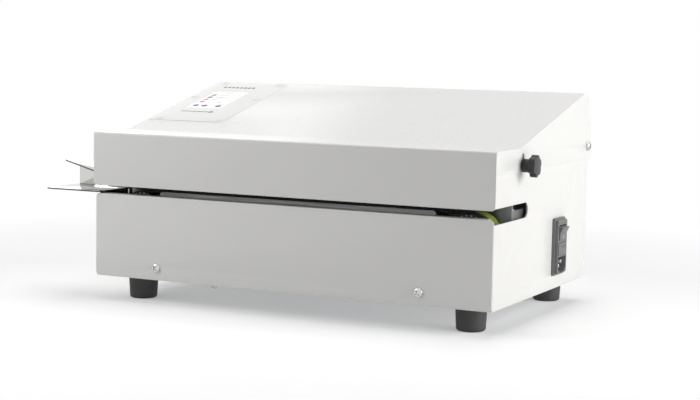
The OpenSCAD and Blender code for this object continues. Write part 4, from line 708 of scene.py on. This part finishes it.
# Control board
# A sheet of green glass-fibre stands on brass pillars. It carries relays, a processor,
# connectors and three electrolytic capacitors, all soldered from above.
solder_mask = surface("solder_mask", (0.015, 0.14, 0.06), drift=0.3, rough=(0.18, 0.32), grain=500,
                      relief=0.00001, mottle=220)
mask_tree = solder_mask.node_tree
tracks = mask_tree.nodes.new("ShaderNodeTexBrick")
tracks.inputs["Color1"].default_value = (0.012, 0.11, 0.045, 1)
tracks.inputs["Color2"].default_value = (0.015, 0.135, 0.055, 1)
tracks.inputs["Mortar"].default_value = (0.04, 0.24, 0.1, 1)
tracks.inputs["Scale"].default_value = 55
tracks.inputs["Mortar Size"].default_value = 0.03
board_place = mask_tree.nodes.new("ShaderNodeTexCoord")
mask_tree.links.new(board_place.outputs["Object"], tracks.inputs["Vector"])
mask_tree.links.new(tracks.outputs["Color"], mask_tree.nodes["tone"].inputs["B"])
standoff_ease = 0.0002
eased("board_standoffs", "board_pillars", standoff_ease, brass)
board_low, board_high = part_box("control_board")
board_w = board_high.x - board_low.x
board_d = board_high.y - board_low.y
board_t = 0.0016
board_ease = 0.0003
board_top = (board_high.x, board_high.y, board_low.z + board_t)


def on_board(x_share, y_share, height=0.0):
    """A place on the control board, as shares of its two sides and a height above it."""
    return Vector((board_low.x + x_share * board_w, board_low.y + y_share * board_d,
                   board_low.z + board_t + height))


def blocks_on_board(mesh, shares, height, ease=0.0, foot=0.0):
    """Blocks that stand on the control board, each given by the shares of its two corners."""
    for x0, y0, x1, y1 in shares:
        block(mesh, on_board(x0, y0, foot), on_board(x1, y1, height), ease)
    return mesh


piece("board_sheet", block(bmesh.new(), board_low, board_top, board_ease), solder_mask, "casing", "circuit",
      "control_board")
relay_blue = surface("relay_blue", (0.03, 0.1, 0.3), drift=0.1, rough=(0.3, 0.45), grain=800,
                     relief=0.00001)
relay_h = 0.0184
relay_ease = 0.0005
relay_shares = [(0.08, 0.2, 0.2, 0.45), (0.215, 0.2, 0.3, 0.45)]
relays = blocks_on_board(bmesh.new(), relay_shares, relay_h, relay_ease)
piece("board_relays", relays, relay_blue, "casing", "dark_plastic", "control_board")
chip_foot = 0.0004
chip_ease = 0.0002
processor_h = 0.0024
processor_shares = [(0.47, 0.38, 0.58, 0.57)]
small_chip_h = 0.0019
small_chip_w_share = 0.045
small_chip_d_share = 0.09
small_chip_corner_shares = [(0.46, 0.75), (0.56, 0.75), (0.46, 0.15), (0.56, 0.15), (0.66, 0.32)]
small_chip_shares = [(x, y, x + small_chip_w_share, y + small_chip_d_share)
                     for x, y in small_chip_corner_shares]
chips = blocks_on_board(bmesh.new(), processor_shares, processor_h, chip_ease, chip_foot)
blocks_on_board(chips, small_chip_shares, small_chip_h, chip_ease, chip_foot)
piece("board_chips", chips, terminal_black, "casing", "dark_plastic")
lead_h = 0.0012
lead_x_shares = [0.472 + i * 0.0066 for i in range(16)]
lead_y_shares = [0.385 + i * 0.0103 for i in range(18)]
lead_shares = [(x, y, x + 0.0025, y + 0.015) for x in lead_x_shares for y in (0.365, 0.57)]
lead_shares += [(x, y, x + 0.012, y + 0.0035) for y in lead_y_shares for x in (0.458, 0.58)]
piece("board_leads", blocks_on_board(bmesh.new(), lead_shares, lead_h), pin_metal, "casing", "bare_steel")
header_white = surface("header_white", (0.72, 0.7, 0.64), drift=0.04, rough=(0.35, 0.5), grain=900,
                       relief=0.00001)
header_h = 0.0075
header_ease = 0.0003
header_shares = [(0.93, 0.1 + i * 0.16, 0.985, 0.21 + i * 0.16) for i in range(5)]
long_header_h = 0.0094
long_header_ease = 0.0004
long_header_shares = [(0.7, 0.75, 0.92, 0.87)]
headers = blocks_on_board(bmesh.new(), header_shares, header_h, header_ease)
blocks_on_board(headers, long_header_shares, long_header_h, long_header_ease)
piece("board_headers", headers, header_white, "casing", "ivory_plastic")
sleeve_film = surface("capacitor_sleeve", (0.02, 0.03, 0.07), drift=0.15, rough=(0.25, 0.4), grain=900,
                      relief=0.00001)
cell_r = 0.005
cell_h = 0.0164
cell_bead = 0.0004
cell_top_r = 0.0039
cell_top_edge = 0.0002
neck_h = 0.0021
neck_w = 0.001
cell_x_shares = (0.15, 0.27, 0.39)
cell_y_share = 0.72
sleeve_profile = [(0, 0), (cell_r - cell_bead, 0), (cell_r, cell_bead), (cell_r, neck_h - neck_w / 2),
                  (cell_r - cell_bead, neck_h), (cell_r, neck_h + neck_w / 2),
                  (cell_r, cell_h - 2 * cell_bead), (cell_r - 2 * cell_bead, cell_h - cell_bead / 4),
                  (0, cell_h - cell_bead / 4)]
sleeves = bmesh.new()
cell_tops = bmesh.new()
cell_top_profile = [(0, cell_h - cell_bead), (cell_top_r, cell_h - cell_bead),
                    (cell_top_r - cell_top_edge, cell_h), (0, cell_h)]
for x_share in cell_x_shares:
    spun(sleeve_profile, on_board(x_share, cell_y_share), "Z", 32, sleeves)
    spun(cell_top_profile, on_board(x_share, cell_y_share), "Z", 32, cell_tops)
piece("capacitor_sleeves", sleeves, sleeve_film, "casing", "dark_plastic", "control_board")
piece("capacitor_tops", cell_tops, pin_metal, "casing", "aluminium")

# Tray and guide
# The tray is a thin polished stainless plate, and its guide a second one folded up
# behind it and flared over it, to lead the pouch's edge in. Their narrow cut edges are
# rougher, and painted near black as painted shade along the edges.
stainless = surface("polished_stainless", (0.6, 0.6, 0.585), drift=0.03, rough=(0.05, 0.11), grain=600,
                    relief=0.000002, metal=1, run=(0.06, 1, 1))
cut_edge_shade = surface("sheared_edge_painted_shade", (0.1, 0.1, 0.1), drift=0.2, rough=(0.5, 0.7), grain=1200, relief=0.00002,
                   metal=1)
# Faces narrower than this take the near-black paint, as painted shade along the cut edges.
cut_edge_w = 0.0018
for plate in (eased("tray_plate", "infeed_tray", sheet_ease, stainless),
              eased("guide_plate", "infeed_guide", sheet_ease, stainless)):
    plate.data.materials.append(cut_edge_shade)
    for face in plate.data.polygons:
        corners = [plate.data.vertices[i].co for i in face.vertices]
        longest = max((a - b).length for a, b in zip(corners, corners[1:] + corners[:1]))
        if face.area < cut_edge_w * longest:
            face.material_index = 1
eased("tray_screws", "infeed_screws", screw_ease, chrome)

# Lower front panel
# A flat coated plate with rounded corners closes the front below the slot. Two chromed
# cross-head screws hold it at the bottom, and its top edge is folded back as a lip.
eased("front_plate", "lower_front_panel", coat_ease, powder, segments=3)
eased("front_plate_screws", "panel_screws", screw_ease, chrome, segments=3)

# Lid
# The lid is one folded and welded shell: front panel, flat ledge, slope, ridge, rear and
# two cheeks. It turns on a chromed button-head screw in each cheek.
eased("lid_sheet", "lid_shell", coat_ease, powder, segments=3)
button_ease = 0.0003
eased("hinge_buttons", "hinge_screws", button_ease, chrome, segments=3)

# Clamping knobs
# A moulded star knob on each side clamps the lid's cheek to the wall. It turns on a
# threaded stud, and its satin black plastic has soft rounded lobes.
knob_plastic = surface("knob_plastic", (0.04, 0.041, 0.042), drift=0.12, rough=(0.3, 0.46), grain=1300,
                       relief=0.00002, mottle=60, gloss=0.25)
stud_ease = 0.0002
knob_ease = 0.0007
eased("stud_pair", "knob_studs", stud_ease, zinc)
for side in ("right", "left"):
    eased(side + "_star_knob", side + "_knob", knob_ease, knob_plastic, segments=3)

# Printed panel
# A satin polyester film with rounded corners is stuck to the slope. Six fixing points
# under it show as faint dimples, painted darker grey as painted shade, and plain marks
# stand where the real film is printed.
film = surface("printed_film", (0.83, 0.83, 0.815), drift=0.01, rough=(0.2, 0.3), grain=2600,
               relief=0.000004, mottle=9, gloss=0.12)
film_ease = 0.00075
satin_film = eased("satin_film", "label_panel", film_ease, film, segments=4)
slope_angle = math.radians(14)
film_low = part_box("label_panel")[0]
film_t = 0.0008
film_edge = Vector((film_low.x, film_low.y, film_low.z + film_t * math.cos(slope_angle)))
on_slope = Matrix.Translation(film_edge) @ Matrix.Rotation(slope_angle, 4, "X")
# The film is thinner than the solid that stands for it, so that its edge draws no dark line.
film_thin_t = 0.00018
on_film = on_slope @ Matrix.Translation((0, 0, film_thin_t - film_t))


def pressed_down(made):
    """The part of a piece above the slope, made as thin as the film is."""
    for vertex in made.data.vertices:
        place = on_slope.inverted() @ vertex.co
        if place.z > -film_t:
            place.z = (place.z + film_t) * film_thin_t / film_t - film_t
            vertex.co = on_slope @ place


pressed_down(satin_film)
dimple_r = 0.0052
dimple_h = 0.00022
dimple_steps = 8
dimple_profile = [(0, -dimple_h), (dimple_r, -dimple_h)]
dimple_rise = [i / dimple_steps for i in range(dimple_steps)]
dimple_profile += [(dimple_r * (1 - s), dimple_h * math.sin(quarter * s) ** 2) for s in dimple_rise]
dimple_profile += [(0, dimple_h)]
dimple_places = [(0.0134, 0.0062), (0.0874, 0.0062), (0.0864, 0.1506), (0.013, 0.1506), (0.0062, 0.091),
                 (0.088, 0.09)]
dimples = bmesh.new()
for u, v in dimple_places:
    spun(dimple_profile, (u, v, 0), "Z", 40, dimples)
bmesh.ops.transform(dimples, matrix=on_film, verts=dimples.verts[:])
# The dimples are painted a darker grey than the film, as painted shade.
dimple_shade = surface("dimples_painted_shade", (0.68, 0.68, 0.67), drift=0.02, rough=(0.3, 0.4), grain=2600,
                      relief=0.000004, gloss=0.3)
piece("film_dimples", dimples, dimple_shade, "lid", "film", crease=80)
ink = surface("grey_ink", (0.13, 0.13, 0.135), drift=0.08, rough=(0.45, 0.6), grain=900, relief=0.000004)
ink_t = 0.00005
dash_l = 0.0034
dash_w = 0.005
dash_step = 0.0054
dash_count = 8
dash_u = 0.0195
dash_v = 0.1335
dash_us = [dash_u + i * dash_step for i in range(dash_count)]
seam_mark = [(u, dash_v, u + dash_l, dash_v + dash_w) for u in dash_us]
arrow_u = 0.0215
arrow_v = 0.0355
arrow_w = 0.002
arrow_l = 0.037
head_w = 0.0072
head_step = 0.0009
head_steps = 6
head_u = arrow_u + arrow_l
arrow_mark = [(arrow_u, arrow_v - arrow_w / 2, head_u, arrow_v + arrow_w / 2)]
for i in range(head_steps):
    start = head_u + i * head_step
    reach = head_w / 2 * (1 - i / head_steps)
    arrow_mark.append((start, arrow_v - reach, start + head_step, arrow_v + reach))
piece("film_marks", plates(seam_mark + arrow_mark, ink_t, on_film), ink, "lid", "film")

# Touch screen
# A flat glass with a lit display behind it lies in a window of the film. It shows a
# white page with a title, four settings, a rule and three round buttons.
lit_glass = surface("lit_glass", (0.86, 0.88, 0.9), drift=0.005, rough=(0.1, 0.16), grain=300,
                    relief=0.000001)
page_light = (0.95, 0.97, 1, 1)
page_glow = 0.22
glass_ease = 0.00015
lit_shader = lit_glass.node_tree.nodes["Principled BSDF"]
lit_shader.inputs["Emission Color"].default_value = page_light
lit_shader.inputs["Emission Strength"].default_value = page_glow
pressed_down(eased("screen_glass_plate", "touch_screen", glass_ease, lit_glass))
screen_low, screen_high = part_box("touch_screen")
screen_u = screen_low.x - film_low.x
screen_w = screen_high.x - screen_low.x
screen_v = (screen_low.y - film_low.y) / math.cos(slope_angle)
screen_l = 0.065
page = on_film @ Matrix.Translation((screen_u, screen_v, 0))
page_t = 0.00004


def page_mark(name, colour, bars=(), dots=(), lift=0.0):
    """Marks on the lit page in a colour, or in white for None, placed by shares of its two sides."""
    marks = [(u0 * screen_w, v0 * screen_l, u1 * screen_w, v1 * screen_l) for u0, v0, u1, v1 in bars]
    marks += [(u * screen_w, v * screen_l, r) for u, v, r in dots]
    page_ink = mark_white
    if colour:
        page_ink = surface("page_" + name, colour, drift=0.03, rough=(0.12, 0.2), grain=300,
                           relief=0.000001, gloss=0.05)
    plane = page @ Matrix.Translation((0, 0, lift))
    piece("page_" + name, plates(marks, page_t, plane), page_ink, "lid", "screen_glass")


row_u_share = 0.3
row_h_share = 0.03
row_shares = [(0.775, 0.3), (0.635, 0.42), (0.49, 0.2), (0.345, 0.42)]
line_shares = [(0.4, 0.9, 0.68, 0.93), (0.82, 0.6, 0.9, 0.62), (0.05, 0.235, 0.95, 0.247)]
line_shares += [(row_u_share, v, row_u_share + w, v + row_h_share) for v, w in row_shares]
page_mark("lines", (0.2, 0.21, 0.27), line_shares)
page_mark("ochre", (0.42, 0.3, 0.1), [(0.06, 0.735, 0.22, 0.85)])
page_mark("violet", (0.17, 0.15, 0.25), [(0.06, 0.595, 0.22, 0.7)])
page_mark("rose", (0.6, 0.36, 0.34), [(0.06, 0.45, 0.22, 0.56)])
page_mark("red", (0.62, 0.24, 0.24), [(0.06, 0.305, 0.22, 0.415)])
page_mark("green", (0.3, 0.55, 0.35), [(0.85, 0.455, 0.91, 0.5)])
button_r = 0.0038
button_v_share = 0.125
page_mark("navy", (0.01, 0.05, 0.11), dots=[(u, button_v_share, button_r) for u in (0.16, 0.42, 0.84)])
sign_shares = [(0.135, 0.125, 0.185, 0.135), (0.395, 0.125, 0.445, 0.135), (0.413, 0.113, 0.427, 0.147),
               (0.815, 0.117, 0.829, 0.143), (0.851, 0.117, 0.865, 0.143)]
page_mark("signs", None, sign_shares, lift=page_t)

# Display module
# Behind the glass lies a display in a bright steel frame, on its own green board with a
# few chips and a connector at the back.
display_low, display_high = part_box("display_board")
display_u0 = display_low.x - film_low.x
display_u1 = display_high.x - film_low.x
display_v0 = 0.04394
display_v1 = 0.12294
display_top = -0.00232
display_frame_in = 0.001
display_frame_t = 0.0038
display_sheet_t = 0.0016
display_back = display_top - display_frame_t - display_sheet_t
display_frame_ease = 0.0003
display_sheet_ease = 0.0002
display_chip_t = 0.0014
display_plug_t = 0.0026
display_chip_places = [(0.012, 0.02, 0.014, 0.014), (0.034, 0.024, 0.008, 0.006),
                       (0.014, 0.048, 0.01, 0.006)]
display_plug_u0 = display_u0 + 0.018
display_plug_u1 = display_u0 + 0.04
display_plug_v0 = display_v1 - 0.012
display_plug_v1 = display_v1 - 0.006


def under_slope(name, blocks, material, slot, *stands_for):
    """Blocks given in the slope's own axes, each by its corners and the ease of its edges."""
    mesh = bmesh.new()
    for low, high, ease in blocks:
        block(mesh, low, high, ease)
    bmesh.ops.transform(mesh, matrix=on_slope, verts=mesh.verts[:])
    piece(name, mesh, material, "lid", slot, *stands_for)


frame_low = (display_u0 + display_frame_in, display_v0 + display_frame_in, display_top - display_frame_t)
frame_high = (display_u1 - display_frame_in, display_v1 - display_frame_in, display_top)
under_slope("display_frame", [(frame_low, frame_high, display_frame_ease)], pin_metal, "bare_steel",
            "display_board")
sheet_low = (display_u0, display_v0, display_back)
sheet_high = (display_u1, display_v1, display_top - display_frame_t)
under_slope("display_sheet", [(sheet_low, sheet_high, display_sheet_ease)], solder_mask, "circuit",
            "display_board")
display_chips = [((display_u0 + u, display_v0 + v, display_back - display_chip_t),
                  (display_u0 + u + w, display_v0 + v + d, display_back), chip_ease)
                 for u, v, w, d in display_chip_places]
under_slope("display_chips", display_chips, terminal_black, "dark_plastic", "display_board")
plug_low = (display_plug_u0, display_plug_v0, display_back - display_plug_t)
plug_high = (display_plug_u1, display_plug_v1, display_back)
under_slope("display_connector", [(plug_low, plug_high, header_ease)], header_white, "ivory_plastic",
            "display_board")
